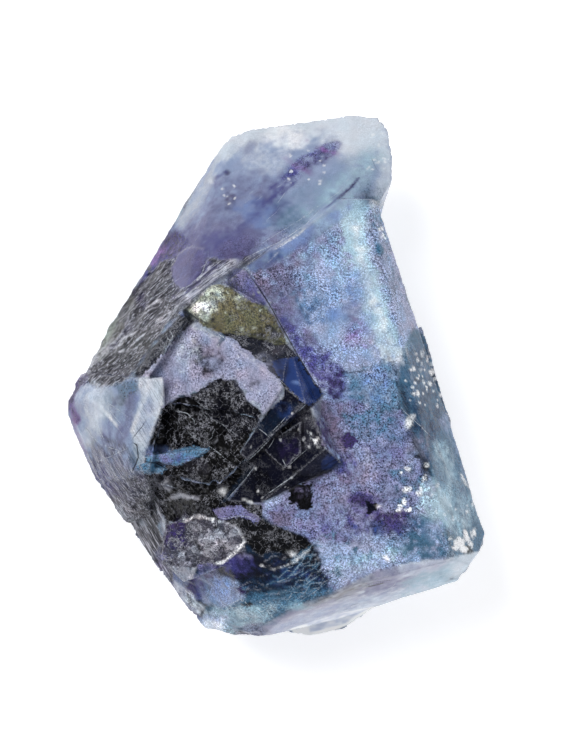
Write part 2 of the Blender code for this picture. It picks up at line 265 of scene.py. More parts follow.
def top(x, y, drop=0.0):
    """A point of the raised cube's sloping top, or of a step that far below it."""
    return (x, y, CUBE_CORNER.z + TREAD_FACE[1][0] * (x - CUBE_CORNER.x) - drop)


def foot(x, y):
    return (x, y, plane_height(PALE_FACE, x, y) - FOOT_SINK)


def rooted(points, depth=ROOT_HEIGHT):
    """The points and their shadow inside the lump below."""
    return list(points) + [(x, y, depth) for x, y, z in points]


def large_crystal():
    corners = [(x, y, 0.0) for x, y in BASE_RING]
    corners += RIM_RING
    corners += [(TOP_SHRINK * x, TOP_SHRINK * y, OVERBUILD) for x, y, z in RIM_RING]
    block = hull_block("large_crystal", corners)
    for face in (PALE_FACE, TREAD_FACE, SCOOPED_FACE):
        cleave(block, face[0], plane_normal(face))
    for point, azimuth, elevation in BEVEL_FACES.values():
        cleave(block, point, direction(azimuth, elevation))
    return block


def dark_cube():
    """A cube standing out of the lump: pale plateau, dark treads below it, walls down to the pale face."""
    plateau = [top(-8.0, 6.1), top(-5.9, 4.4), top(0.9, -1.2), top(-1.6, -5.0), top(-6.4, -3.4),
               top(-13.2, -3.2), top(-15.0, -0.6), top(-10.4, 5.8)]
    feet = [foot(1.7, 3.6), (-2.3, 4.2, 22.0), (-6.2, 5.6, 22.0)]
    block = hull_block("plateau", rooted(plateau) + rooted(feet))
    strip = [top(0.9, -1.2, STRIP_DROP), top(3.45, -3.1, STRIP_DROP), top(-3.2, -9.7, STRIP_DROP),
             top(-6.4, -12.7, STRIP_DROP), top(-9.4, -9.0, STRIP_DROP)]
    strip_feet = [foot(1.7, 3.6), foot(4.95, -2.9)]
    pit = [top(-1.6, -5.0, PIT_DROP), top(-4.6, -9.2, PIT_DROP), top(-7.4, -12.6, PIT_DROP),
           top(-13.4, -11.4, PIT_DROP), top(-14.8, -3.0, PIT_DROP)]
    tread = [top(4.0, -3.6, TREAD_DROP), top(4.25, -5.7, TREAD_DROP), top(5.75, -8.3, TREAD_DROP),
             top(-1.95, -13.2, TREAD_DROP), top(-9.0, -14.2, TREAD_DROP), top(-13.4, -12.5, TREAD_DROP),
             top(-9.0, -5.0, TREAD_DROP)]
    tread_feet = [foot(4.95, -2.9), foot(7.7, -10.1), foot(2.9, -12.1), foot(-1.95, -14.9)]
    notch = [top(0.4, -8.6, NOTCH_DROP), top(1.05, -10.6, NOTCH_DROP), top(3.0, -8.8, NOTCH_DROP),
             top(3.0, -5.2, NOTCH_DROP), top(-1.6, -8.2, NOTCH_DROP)]
    for name, outline in (("edge_strip", strip + strip_feet), ("pit_floor", pit),
                          ("tread", tread + tread_feet), ("notch_step", notch)):
        join(block, hull_block(name, rooted(outline)))
    return block


def blue_blades():
    """Two thin blades lying across the dark pit."""
    long_blade = [top(-14.6, -9.2, 0.2), top(-8.0, -8.3, 0.5), top(-8.7, -9.4, 0.5), top(-10.4, -10.6, 0.6),
                  top(-12.2, -10.4, 0.5)]
    short_blade = [top(-14.6, -10.4, 0.1), top(-12.3, -10.7, 0.3), top(-12.6, -11.6, 0.4), top(-14.6,
                                                                                               -11.3, 0.2)]
    block = hull_block("long_blade", rooted(long_blade))
    join(block, hull_block("short_blade", rooted(short_blade)))
    return block


def olive_ledge():
    """The rough facet that falls gently from the cube's upper corner to the pale face."""
    outline = [(-8.1, 6.2, 23.2), (-9.9, 7.2, 22.9), (-7.1, 10.3, 22.7), (-5.2, 10.2, 22.8),
               (-1.5, 8.1, 22.7),
               (1.7, 3.8, 22.1), (-2.3, 4.4, 22.9), (-5.8, 4.5, 23.4)]
    return hull_block("olive_ledge", rooted(outline))


def violet_ridge():
    """The low dark facets between the olive ledge and the pale face."""
    outline = [(-5.8, 10.3, 22.2), (-3.5, 12.2, 21.9), (-1.9, 9.9, 22.4), (0.7, 5.9, 22.35),
               (1.9, 3.6, 22.1),
               (-1.0, 6.0, 22.2)]
    return hull_block("violet_ridge", rooted(outline))


def ice_block():
    crest = [(-10.6, 7.4, 22.2), (-7.2, 10.8, 21.9), (-3.3, 12.9, 21.0), (2.0, 16.2, 20.1),
             (7.2, 19.4, 19.0),
             (11.0, 21.4, 17.4)]
    knob = [(12.2, 20.3, 16.6), (13.35, 22.4, 15.8), (13.5, 25.0, 15.0), (12.9, 28.4, 13.5),
            (11.9, 29.6, 13.0),
            (9.0, 30.0, 13.2)]
    rim = [(3.6, 29.2, 12.0), (-2.9, 28.3, 10.5), (-5.0, 27.6, 9.8), (-6.3, 26.2, 9.4), (-8.1, 22.6, 9.2),
           (-11.9, 16.9, 9.0), (-13.4, 14.9, 9.0), (-15.6, 11.0, 10.0)]
    keel = [(-8, 12, 0.0), (4, 16, 0.0), (10.5, 12.0, 1.0), (9.0, 24.0, 5.5), (-2.0, 23.0, 4.5),
            (12.0, 21.0, 8.0)]
    return hull_block("ice_block", crest + knob + rim + keel)


def left_lobe():
    """The pale lobe on the left, its thumb over the plateau and its tail down the fibrous slope."""
    rim = [(-23.8, -2.9, 12.0), (-23.2, -6.6, 11.5), (-22.4, 0.2, 11.5), (-20.6, -12.0, 12.5),
           (-23.9, -4.5, 12.0)]
    crown = [(-12.7, -0.4, 22.6), (-12.6, -4.0, 22.7), (-14.2, -10.6, 21.4), (-16.6, -0.2, 22.0),
             (-16.2, -11.0, 20.6), (-19.5, -2.0, 18.6), (-19.2, -9.5, 17.4)]
    inside = [(-14, -1, 8.0), (-14, -10, 8.0), (-20, -4, 8.5), (-16.0, -15.4, 7.0)]
    tail = [(-18.6, -14.0, 11.0), (-17.0, -17.0, 10.6), (-14.4, -16.4, 12.2), (-13.6, -13.4, 15.5)]
    return hull_block("left_lobe", rim + crown + inside + tail)


def silky_lip():
    """The fibrous ridge above the plateau's upper left edge."""
    lip = [(-9.9, 6.2, 23.8), (-11.7, 4.1, 23.3), (-14.5, -0.2, 22.2), (-15.6, 0.2, 21.2),
           (-10.6, 7.4, 22.6)]
    slope = [(-21.8, 0.6, 10.5), (-19.0, 5.6, 10.0), (-15.0, 12.0, 10.0), (-20.6, 0.4, 12.6)]
    return hull_block("silky_lip", rooted(lip, LIP_ROOT_HEIGHT) + slope)


def lower_lump():
    """The whitish lump between the fibrous slope and the scooped face."""
    crown = [(-12.2, -16.6, 20.6), (-5.6, -17.0, 21.4), (-3.7, -19.0, 21.0), (-5.8, -21.8, 20.0),
             (-10.4, -23.6, 18.2), (-13.0, -21.0, 18.2)]
    return hull_block("lower_lump", rooted(crown))


def right_shoulder():
    """The teal step that stands out of the right side."""
    brow = [(16.9, 5.6, 14.6), (18.5, 0.4, 13.9), (20.9, -8.6, 12.6), (21.6, -12.0, 12.6)]
    under = [(16.4, 5.0, 11.2), (18.6, -4.0, 9.4), (19.6, -10.5, 9.8)]
    inside = [(12.5, 4.2, 17.0), (12.0, 3.6, 7.0), (17.0, -12.5, 17.0), (14.0, -12.0, 6.0)]
    return hull_block("right_shoulder", brow + under + inside)


def bottom_ledge():
    """The thin clear ledge under the bottom bevel."""
    brow = [(0.4, -29.6, 6.8), (4.2, -30.2, 7.4), (8.0, -29.3, 8.2), (11.2, -27.0, 9.8)]
    under = [(1.6, -28.8, 4.2), (6.6, -28.2, 4.4), (10.6, -26.0, 6.4)]
    inside = [(-1.0, -23.5, 1.5), (12.0, -21.5, 4.0), (0.0, -25.0, 11.5), (12.0, -24.0, 14.0)]
    return hull_block("bottom_ledge", brow + under + inside)


def solid_lump():
    """All the blocks melted into one lump."""
    lump = large_crystal()
    for maker in (ice_block, dark_cube, blue_blades, olive_ledge, violet_ridge, left_lobe, silky_lip,
                  lower_lump, right_shoulder, bottom_ledge):
        join(lump, maker())
    return lump


def outlined(outline, u, v):
    """True for the plan points inside the outline."""
    odd = np.zeros(len(u), bool)
    for a, b in zip(outline, outline[1:] + outline[:1]):
        crosses = (a[1] > v) != (b[1] > v)
        reach = a[0] + (v - a[1]) * (b[0] - a[0]) / (b[1] - a[1] if b[1] != a[1] else 1e-9)
        odd ^= crosses & (u < reach)
    return odd


def drop_bubbles(bm):
    """Keep the largest skin alone: the even cells can close round a tiny hollow inside the lump."""
    skins, waiting = [], set(bm.verts)
    while waiting:
        skin, edge_of_skin = set(), [waiting.pop()]
        while edge_of_skin:
            vert = edge_of_skin.pop()
            skin.add(vert)
            fresh = {edge.other_vert(vert) for edge in vert.link_edges} & waiting
            waiting -= fresh
            edge_of_skin.extend(fresh)
        skins.append(skin)
    outer = max(skins, key=len)
    hollow = [vert for vert in bm.verts if vert not in outer]
    bmesh.ops.delete(bm, geom=hollow, context="VERTS")


def celled_lump(shape):
    """The lump with even cells, drawn back onto its flat facets."""
    lump = solid_lump()
    corners = [v.co for v in lump.data.vertices]
    facets = BVHTree.FromPolygons(corners, [p.vertices for p in lump.data.polygons])
    voxels = lump.modifiers.new("voxels", "REMESH")
    voxels.mode = "VOXEL"
    voxels.voxel_size = shape.voxel
    apply_modifiers(lump)
    cleave(lump, Vector((0.0, 0.0, LUMP_CENTRE.z)), Vector((0.0, 0.0, -1.0)))
    bm = bmesh.new()
    bm.from_mesh(lump.data)
    drop_bubbles(bm)
    for vert in bm.verts:
        near, _, _, gap = facets.find_nearest(vert.co)
        if gap < shape.voxel and vert.co.z > LUMP_CENTRE.z + BASE_SLACK:
            vert.co = near
    bm.to_mesh(lump.data)
    bm.free()
    return lump


def thin_hidden_side(lump, limit):
    """Fewer triangles on the underside and on the steep sides, none lost on the top."""
    normals = vertex_normals(lump.data)
    group = lump.vertex_groups.new(name="thin")
    freedom = np.clip((THIN_FROM - normals[:, 2]) / THIN_OVER, 0.0, 1.0)
    for level in range(1, THIN_LEVELS + 1):
        chosen = np.nonzero(np.ceil(freedom * THIN_LEVELS) == level)[0]
        group.add(chosen.tolist(), level / THIN_LEVELS, "REPLACE")
    thin = lump.modifiers.new("thin", "DECIMATE")
    thin.ratio = limit / sum(len(p.vertices) - 2 for p in lump.data.polygons)
    thin.use_collapse_triangulate = True
    thin.vertex_group = group.name
    thin.vertex_group_factor = 1.0
    apply_modifiers(lump)
    lump.vertex_groups.clear()


def vertex_points(mesh):
    flat = np.empty(len(mesh.vertices) * 3, np.float32)
    mesh.vertices.foreach_get("co", flat)
    return flat.reshape(-1, 3).astype(float)


def vertex_normals(mesh):
    flat = np.empty(len(mesh.vertices) * 3, np.float32)
    mesh.vertex_normals.foreach_get("vector", flat)
    return flat.reshape(-1, 3).astype(float)


# ---- noise ------------------------------------------------------------------------

LATTICE_FACTORS = (374761393, 668265263, 1442695041, 1274126177)
LOW_32_BITS = 0xFFFFFFFF


def scramble(ix, iy, iz, seed):
    """A steady random number from 0 to 1 for each lattice point."""
    first, second, third, fourth = LATTICE_FACTORS
    h = (ix * first + iy * second + iz * third + seed * fourth) & LOW_32_BITS
    h = ((h ^ (h >> 13)) * fourth) & LOW_32_BITS
    h = ((h ^ (h >> 15)) * second) & LOW_32_BITS
    return ((h ^ (h >> 16)) & 0xFFFFFF) / 0xFFFFFF


def noise(points, size, seed=0):
    """Smooth noise from -1 to 1 with bumps about one size apart."""
    q = points / np.asarray(size, float)
    cell = np.floor(q).astype(np.int64)
    f = q - cell
    f = f * f * f * (f * (f * 6 - 15) + 10)
    total = np.zeros(len(points))
    for dx in (0, 1):
        wx = f[:, 0] if dx else 1 - f[:, 0]
        for dy in (0, 1):
            wy = f[:, 1] if dy else 1 - f[:, 1]
            for dz in (0, 1):
                wz = f[:, 2] if dz else 1 - f[:, 2]
                total += wx * wy * wz * scramble(cell[:, 0] + dx, cell[:, 1] + dy, cell[:, 2] + dz, seed)
    return 2 * total - 1


def fractal(points, size, octaves=3, seed=0, falloff=0.5):
    total, weight, reach = np.zeros(len(points)), 1.0, 0.0
    size = np.asarray(size, float)
    for octave in range(octaves):
        total += weight * noise(points, size / 2 ** octave, seed + 17 * octave)
        reach += weight
        weight *= falloff
    return total / reach


def cells(points, size, seed=0):
    """Offset from the nearest cell centre, distance to the cell's border, and a random value per cell."""
    q = points / np.asarray(size, float)
    home = np.floor(q).astype(np.int64)
    near = np.full(len(points), 9.0)
    second = np.full(len(points), 9.0)
    value = np.zeros(len(points))
    offset = np.zeros((len(points), 3))
    for dx in (-1, 0, 1):
        for dy in (-1, 0, 1):
            for dz in (-1, 0, 1):
                c = home + np.array((dx, dy, dz))
                jitter = [scramble(c[:, 0], c[:, 1], c[:, 2], seed + k) for k in (1, 2, 3)]
                centre = c + np.stack(jitter, axis=1)
                gap = np.linalg.norm(q - centre, axis=1)
                closer = gap < near
                second = np.where(closer, near, np.minimum(second, gap))
                value = np.where(closer, scramble(c[:, 0], c[:, 1], c[:, 2], seed + 4), value)
                offset = np.where(closer[:, None], q - centre, offset)
                near = np.where(closer, gap, near)
    return offset, second - near, value


def ramp(value, low, high):
    """0 below low, 1 above high and smooth between; low may be the larger."""
    t = np.clip((value - low) / (high - low), 0.0, 1.0)
    return t * t * (3 - 2 * t)


def turned(points, azimuth):
    """The points with X turned to run along an azimuth in plan."""
    c, s = cos(radians(azimuth)), sin(radians(azimuth))
    x, y, z = points.T
    return np.stack((x * c + y * s, y * c - x * s, z), axis=1)


# ---- strokes on the plan -------------------------------------------------------------

MARKS = ("cloud", "rough", "salt", "pepper", "coarse", "web", "lower_fibre", "upper_fibre", "frost")
WEAR_MARKS = ("steps", "ripple", "swell", "hackle")
# the bright lines are light caught on chipped edges and crests: partly the chips' white, partly painted
# highlight
LINE_SETS = ("dark_line", "bright_line", "bright_line_b")
LINE_REACH = 5.0


class Surface:
    """Every point of the lump with its colour, finish and relief, changed stroke by stroke."""

    def __init__(self, points, normals, tones):
        self.points = points
        self.normals = normals
        self.u = PLAN_ORIGIN[0] + points[:, 0] / PLAN_STEP
        self.v = PLAN_ORIGIN[1] - points[:, 1] / PLAN_STEP
        self.drift = fractal(points, 3.0, 3, seed=9)
        self.ragged = fractal(points, 0.9, 3, seed=5)
        self.facing = ramp(normals[:, 2] + 0.4 * self.drift + 0.25 * self.ragged, -0.15, 0.2)
        self.tones = {name: np.array(getattr(tones, name)) for name in tones.__annotations__}
        n = len(points)
        self.tint = np.tile(self.tones["mist"], (n, 1))
        self.marks = {name: np.zeros(n) for name in MARKS + WEAR_MARKS}
        self.lift = np.zeros(n)
        self.lines = {name: (np.full(n, LINE_REACH), np.zeros(n)) for name in LINE_SETS}
        self.inset = np.tile(self.tones["mist"], (n, 1))
        self.inset_side = np.full(n, -LINE_REACH)
        self.grit = noise(points, 0.42, seed=7) + 0.6 * noise(points, 0.95, seed=8)

    # masks
    def near(self, outline, margin):
        us, vs = [p[0] for p in outline], [p[1] for p in outline]
        return np.nonzero((self.u > min(us) - margin) & (self.u < max(us) + margin)
                          & (self.v > min(vs) - margin) & (self.v < max(vs) + margin)
                          & (self.facing > 0.0))[0]

    def to_path(self, where, path, closed=False):
        """Distance to the path, signed by its side, and how far along the path the nearest point is."""
        u, v = self.u[where], self.v[where]
        best = np.full(len(where), 1e9)
        side = np.ones(len(where))
        along = np.zeros(len(where))
        ends = path[1:] + path[:1] if closed else path[1:]
        count = len(ends)
        for k, (a, b) in enumerate(zip(path, ends)):
            du, dv = b[0] - a[0], b[1] - a[1]
            t = np.clip(((u - a[0]) * du + (v - a[1]) * dv) / (du * du + dv * dv + 1e-9), 0, 1)
            gap = np.hypot(u - a[0] - t * du, v - a[1] - t * dv)
            closer = gap < best
            best = np.where(closer, gap, best)
            side = np.where(closer, np.sign(du * (v - a[1]) - dv * (u - a[0])), side)
            along = np.where(closer, (k + t) / count, along)
        return best, side, along

    def signed(self, where, outline):
        """Distance to the outline, above zero inside it."""
        gap, _, _ = self.to_path(where, outline, closed=True)
        return np.where(outlined(outline, self.u[where], self.v[where]), gap, -gap)

    # colour
    def mix(self, where, mask, colour=None, **marks):
        grain = 0.9 + 2.4 * self.marks["salt"][where]
        mask = np.clip(mask + grain * mask * (1 - mask) * self.grit[where], 0, 1) * self.facing[where]
        if colour is not None:
            for layer in (self.tint, self.inset):
                layer[where] += mask[:, None] * (self.tones[colour] - layer[where])
        for name, value in marks.items():
            self.marks[name][where] += mask * (value - self.marks[name][where])

    def fill(self, colour, outline, amount=1.0, soft=1.5, wobble=1.5, lift=0.0, **marks):
        where = self.near(outline, 3 * soft + 2 * wobble + 2)
        depth = self.signed(where, outline) + wobble * (self.ragged[where] + 0.8 * self.drift[where])
        mask = ramp(depth, -soft, soft)
        self.mix(where, amount * mask, colour, **marks)
        self.lift[where] += lift * mask * self.facing[where]

    def plate(self, colour, outline, lift=0.0, **marks):
        """A crisp-edged area: its colour goes on the inset layer,
        which shows where its side is above zero."""
        where = self.near(outline, LINE_REACH)
        depth = self.signed(where, outline)
        self.inset[where[(depth > self.inset_side[where]) | (depth > 0)]] = self.tones[colour]
        self.inset_side[where] = np.maximum(self.inset_side[where], depth)
        mask = ramp(depth, -0.8, 0.8) * self.facing[where]
        for name, value in marks.items():
            self.marks[name][where] += mask * (value - self.marks[name][where])
        self.lift[where] += lift * mask

    def patch(self, colour, u, v, width, height=None, angle=0.0, amount=1.0, soft=0.6, patchy=0.5, lift=0.0,
              **marks):
        """A soft cloud of colour, width and height across."""
        height = height or width
        reach = max(width, height)
        where = self.near([(u - reach, v - reach), (u + reach, v + reach)], 0.0)
        c, s = cos(radians(angle)), sin(radians(angle))
        du, dv = self.u[where] - u, self.v[where] - v
        across = np.hypot((du * c - dv * s) / (0.5 * width), (du * s + dv * c) / (0.5 * height))
        across += patchy * (0.6 * self.ragged[where] + 0.9 * self.drift[where])
        mask = amount * ramp(across, 1.0 + soft, 1.0 - soft)
        self.mix(where, mask, colour, **marks)
        self.lift[where] += lift * mask

    def patches(self, *rows):
        """Plain patches in turn: colour, u, v, width, height, angle, amount and patchiness."""
        for *place, amount, patchy in rows:
            self.patch(*place, amount=amount, patchy=patchy)

    def stroke(self, colour, path, width, amount=1.0, soft=0.8, wobble=0.8, taper=0.0, lift=0.0, **marks):
        """A brush stroke along a path; taper 1 narrows it to nothing at both ends."""
        where = self.near(path, width + soft * 2 + wobble * 2)
        gap, _, along = self.to_path(where, path)
        half = 0.5 * width * (1 - taper * (2 * along - 1) ** 2)
        mask = amount * ramp(gap + wobble * self.ragged[where], half + soft, half - soft)
        self.mix(where, mask, colour, **marks)
        self.lift[where] += lift * mask

    def line(self, kind, path, width, broken=0.0):
        """A hair-thin line, kept as the signed distance from it so that it stays sharp."""
        where = self.near(path, LINE_REACH)
        gap, side, along = self.to_path(where, path)
        distance, thickness = self.lines[kind]
        half = 0.3 * width * np.clip(5 * along, 0, 1) * np.clip(5 - 5 * along, 0, 1)
        half = half * (1 - broken * ramp(self.ragged[where], -0.1, 0.4))
        closer = gap < np.abs(distance[where])
        chosen = where[closer]
        distance[chosen] = (gap * side)[closer]
        thickness[chosen] = (half * ramp(gap, LINE_REACH, 0.6 * LINE_REACH))[closer]

    def lines_of(self, kind, *rows):
        """Lines of one kind in turn: path, width and how broken."""
        for path, width, broken in rows:
            self.line(kind, path, width, broken)

    def scatter(self, colour, outline, count, size, seed, amount=1.0, lift=0.0, **marks):
        """Small angular flecks thrown over an area."""
        draw = np.random.default_rng(seed)
        us, vs = [p[0] for p in outline], [p[1] for p in outline]
        for _ in range(count):
            u, v = draw.uniform(min(us), max(us)), draw.uniform(min(vs), max(vs))
            width = size * draw.uniform(0.5, 1.5)
            self.patch(colour, u, v, width, width * draw.uniform(0.4, 1.0), draw.uniform(0, 180),
                       amount=amount * draw.uniform(0.5, 1.0), soft=0.5, patchy=0.5, lift=lift, **marks)


# ---- the strokes, area by area --------------------------------------------------------

def all_over(s):
    """Colour zones that run through the whole lump, seen on the sides and underneath."""
    p, tones = s.points, s.tones
    quarter = np.arctan2(p[:, 1], p[:, 0]) + 0.5 * s.drift
    sides = (("cyan", radians(75), 0.8), ("mist", radians(110), 0.9), ("violet", radians(160), 0.8),
             ("lilac", radians(215), 0.8), ("sky", radians(255), 0.8), ("mist", radians(300), 0.8),
             ("teal", radians(0), 0.9))
    for colour, azimuth, reach in sides:
        gap = np.abs((quarter - azimuth + np.pi) % (2 * np.pi) - np.pi)
        s.tint += (0.7 * ramp(gap, reach, 0.2 * reach))[:, None] * (tones[colour] - s.tint)
    zone = 0.10 * p[:, 0] + 0.16 * p[:, 1] + 0.22 * p[:, 2] + 1.6 * s.drift + 0.3 * s.ragged
    bands = (("ice", 0.0, 0.26, 0.7), ("teal", 1.5, 0.20, 0.6), ("violet", 2.7, 0.16, 0.7),
             ("cyan", 3.6, 0.20, 0.6), ("plum", 4.5, 0.06, 0.6))
    for colour, phase, width, amount in bands:
        wave = np.abs(((zone - phase) / 5.2 + 0.5) % 1.0 - 0.5) * 2
        mask = amount * ramp(wave, width + 0.16, width - 0.08)
        mask = np.clip(mask + 1.6 * mask * (1 - mask) * s.grit, 0, 1)
        s.tint += mask[:, None] * (tones[colour] - s.tint)
    s.inset[:] = s.tint
    s.marks["cloud"][:] = 0.5
    s.marks["rough"][:] = 0.13
    s.marks["swell"][:] = 0.6
    s.marks["pepper"][:] = 0.15 + 0.3 * ramp(s.drift, -0.1, 0.4)
    s.marks["salt"][:] = 0.15
    s.marks["hackle"][:] = 1.0 - s.facing


# plan line of the bevel's upper edge: v + u / 2
BEVEL_LINE = 750.0

PALE_FACE_AREA = [
    (255, 283), (247, 268), (256, 276), (306, 246), (334, 226), (352, 214), (372, 204), (382, 208),
    (400, 262),
    (405, 300), (424, 335), (412, 327), (398, 360), (397, 400), (412, 440), (440, 500), (450, 530),
    (444, 557),
    (410, 560), (370, 571), (330, 590), (314, 560), (308, 545), (300, 533), (274, 523), (262, 512),
    (258, 505),
    (300, 482), (343, 463), (317, 440), (322, 393), (312, 380), (290, 342), (268, 303)]


def pale_face(s):
    s.fill("mist", PALE_FACE_AREA, soft=1.0, wobble=0.4, cloud=0.9, rough=0.24, salt=0.7, pepper=0.5,
           swell=0.12, hackle=0.0)
    # upper part: lilac at the left, blue in the middle, and at the right a cyan band that is a painted glow
    s.fill("lilac", [(256, 276), (306, 246), (345, 222), (350, 245), (318, 266), (300, 300), (282, 320),
            (262, 300)], amount=0.75, soft=6, wobble=4)
    s.fill("umber", [(253, 282), (262, 272), (298, 264), (304, 280), (298, 306), (288, 322), (276, 312)],
           amount=0.8, soft=3, wobble=5, pepper=0.9, salt=0.8)
    s.patch("lilac", 326, 246, 40, 26, -30, amount=0.6, pepper=0.7)
    s.patch("cyan", 322, 268, 40, 30, -20, amount=0.3, patchy=1.2, pepper=0.4)
    s.patches(("teal", 342, 276, 30, 60, 10, 0.3, 1.2), ("lavender", 302, 274, 14, 20, 20, 0.6, 0.5),
              ("sky", 336, 292, 62, 84, 10, 0.5, 1.1), ("cyan", 340, 286, 56, 90, 10, 0.22, 1.3),
              ("teal", 316, 300, 34, 40, 10, 0.3, 1.4), ("azure", 329, 288, 24, 26, 0, 0.35, 1.3),
              ("azure", 322, 312, 30, 26, 0, 0.25, 1.3))
    s.patch("sky", 334, 316, 18, 14, 0, amount=0.8, salt=0.2)
    s.patch("lilac", 350, 316, 20, 26, -20, amount=0.4, patchy=1.2)
    s.stroke("lilac", [(281, 310), (296, 334), (312, 356), (326, 372)], 22, amount=0.8, soft=5, wobble=5)
    s.stroke("violet", [(284, 322), (299, 346), (312, 366), (322, 384)], 10, amount=0.75, soft=4, wobble=4)
    s.fill("violet", [(304, 344), (326, 350), (343, 368), (348, 392), (332, 402), (320, 388), (308, 368)],
           amount=0.8, soft=5, wobble=6, pepper=0.8, coarse=0.5)
    s.patches(("plum", 335, 386, 13, 20, 10, 0.6, 1.2), ("plum", 343, 371, 12, 8, 20, 0.5, 1.0))
    # painted glow: the cyan band of light through the crystal, with a paler core
    s.stroke("cyan", [(356, 218), (357, 246), (364, 272), (372, 294), (379, 314), (385, 332), (389, 348)],
             24, amount=0.8, soft=8, wobble=5, salt=0.3, pepper=0.2)
    s.stroke("cyan", [(352, 222), (354, 244), (360, 262)], 20, amount=0.8, soft=6, wobble=3, salt=0.3,
             pepper=0.2)
    s.stroke("frost", [(356, 228), (357, 244), (366, 280), (376, 310), (383, 328)], 5, amount=0.35, soft=6,
             wobble=5, salt=0.3, pepper=0.15)
    s.patch("sky", 356, 284, 20, 36, -10, amount=0.5)
    s.fill("lavender", [(368, 206), (384, 214), (400, 262), (406, 300), (416, 328), (398, 334), (389, 306),
            (379, 276), (368, 246)], amount=0.75, soft=5, wobble=3, pepper=0.55)
    s.patch("teal", 392, 286, 16, 50, 10, amount=0.3, patchy=1.2)
    s.patch("teal", 382, 226, 30, 56, 20, amount=0.55, patchy=1.0, pepper=0.6)
    s.patches(("mist", 400, 316, 14, 24, 15, 0.7, 0.5), ("teal", 379, 250, 8, 12, 0, 0.8, 0.5))
    s.scatter("frost", [(377, 228), (388, 242)], 10, 2.6, seed=3, amount=0.8, frost=0.8)
    s.patch("cyan", 356, 208, 40, 12, -14, amount=0.3, patchy=0.8, salt=0.15, pepper=0.05)
    # middle: pinkish cloud, a pale patch with a stepped edge, teal below
    s.patches(("magenta", 362, 338, 30, 28, 20, 0.28, 1.2), ("magenta", 353, 362, 20, 8, -10, 0.3, 1.0))
    s.plate("mist", [(340, 352), (350, 347), (372, 350), (377, 362), (368, 370), (346, 372), (339, 364)],
            lift=0.12, cloud=0.85, pepper=0.3)
    s.patch("sky", 354, 358, 30, 18, 0, amount=0.12, patchy=1.0)
    s.fill("teal", [(345, 374), (368, 371), (378, 362), (396, 358), (400, 400), (402, 416), (380, 412),
            (352, 402)], amount=0.8, soft=5, wobble=4, pepper=0.9, coarse=0.5)
    s.patch("sky", 372, 388, 26, 34, 10, amount=0.4, patchy=1.2)
    s.stroke("sea", [(386, 352), (392, 366), (399, 384), (404, 404), (412, 424)], 5, amount=0.6, soft=2,
             wobble=2)
    s.stroke("ice", [(380, 348), (396, 356)], 20, amount=0.35, soft=5, wobble=3)
    # lower part: speckled lilac and blue with square dark windows
    s.fill("lilac", [(320, 398), (350, 402), (398, 412), (412, 440), (436, 500), (400, 520), (330, 545),
            (300, 528), (264, 510), (300, 482), (343, 463), (318, 440)], amount=0.8, soft=4, wobble=3,
           pepper=0.95, salt=0.8, coarse=0.7)
    s.fill("umber", [(320, 398), (345, 404), (350, 430), (352, 462), (334, 478), (344, 462), (318, 440)],
           amount=0.5, soft=4, wobble=4)
    s.patch("teal", 372, 424, 40, 34, 0, amount=0.6, patchy=1.3)
    s.fill("lavender", [(354, 450), (366, 448), (378, 456), (376, 472), (370, 486), (358, 482), (353, 466)],
           amount=0.4, wobble=2, salt=0.4, pepper=0.6)
    s.patches(("lavender", 415, 450, 16, 36, -20, 0.6, 0.5), ("lavender", 332, 496, 36, 22, 10, 0.45, 0.5),
              ("lavender", 318, 520, 40, 26, 10, 0.25, 0.5), ("umber", 345, 500, 130, 90, 0, 0.4, 0.7),
              ("violet", 328, 522, 40, 24, 10, 0.4, 1.2), ("teal", 398, 486, 40, 40, 0, 0.35, 1.2))
    s.plate("plum", [(338, 436), (348, 431), (357, 440), (352, 448), (341, 445)], salt=0.9, pepper=0.5)
    s.stroke("lilac", [(258, 506), (274, 520), (300, 530), (312, 550), (328, 588)], 12, amount=0.8, soft=4,
             wobble=4, pepper=1.0)
    s.plate("soot", [(290, 481), (311, 483), (312, 507), (298, 508), (297, 501), (289, 502)], cloud=1.0,
            salt=0.9)
    s.patch("umber", 299, 488, 20, 12, -10, amount=0.6, patchy=1.4)
    s.fill("violet", [(344, 492), (362, 490), (380, 500), (378, 513), (362, 516), (348, 506)], amount=0.6,
           soft=2, wobble=5, pepper=0.9)
    s.fill("plum", [(349, 494), (362, 492), (370, 498), (376, 506), (364, 512), (352, 505)], amount=0.8,
           wobble=4, salt=0.7, pepper=0.8)
    s.plate("navy", [(364, 499), (376, 502), (375, 510), (366, 512)], cloud=1.0, salt=0.8)
    s.fill("plum", [(376, 512), (404, 510), (420, 518), (414, 532), (392, 538), (380, 530)], amount=0.65,
           soft=3, wobble=7, pepper=1.0)
    s.plate("umber", [(270, 511), (280, 508), (292, 514), (289, 526), (276, 522)], salt=0.8, pepper=0.6)
    s.patches(("violet", 344, 462, 26, 20, 10, 0.5, 1.2), ("violet", 400, 526, 40, 18, 12, 0.7, 1.2),
              ("plum", 402, 524, 18, 10, 12, 0.6, 1.2), ("azure", 372, 528, 40, 20, 12, 0.4, 1.2))
    s.fill("mist", [(318, 540), (345, 544), (372, 548), (390, 556), (388, 566), (370, 570), (345, 578),
            (325, 562)], amount=0.9, soft=4, wobble=4, salt=0.6, pepper=0.4, coarse=0.6)
    s.patch("cyan", 352, 562, 44, 16, 12, amount=0.4, patchy=1.2)
    s.fill("teal", [(384, 536), (414, 532), (440, 530), (444, 556), (410, 560), (392, 560)], amount=0.4,
           soft=4, wobble=5)
    s.patch("cyan", 398, 550, 36, 14, 8, amount=0.5, patchy=1.2)
    s.fill("teal", [(430, 500), (450, 500), (466, 520), (468, 548), (446, 556), (430, 530)], amount=0.2,
           soft=4, wobble=3)
    s.patches(("cyan", 434, 502, 26, 34, -35, 0.7, 0.8), ("sea", 454, 536, 22, 20, 0, 0.2, 1.2))
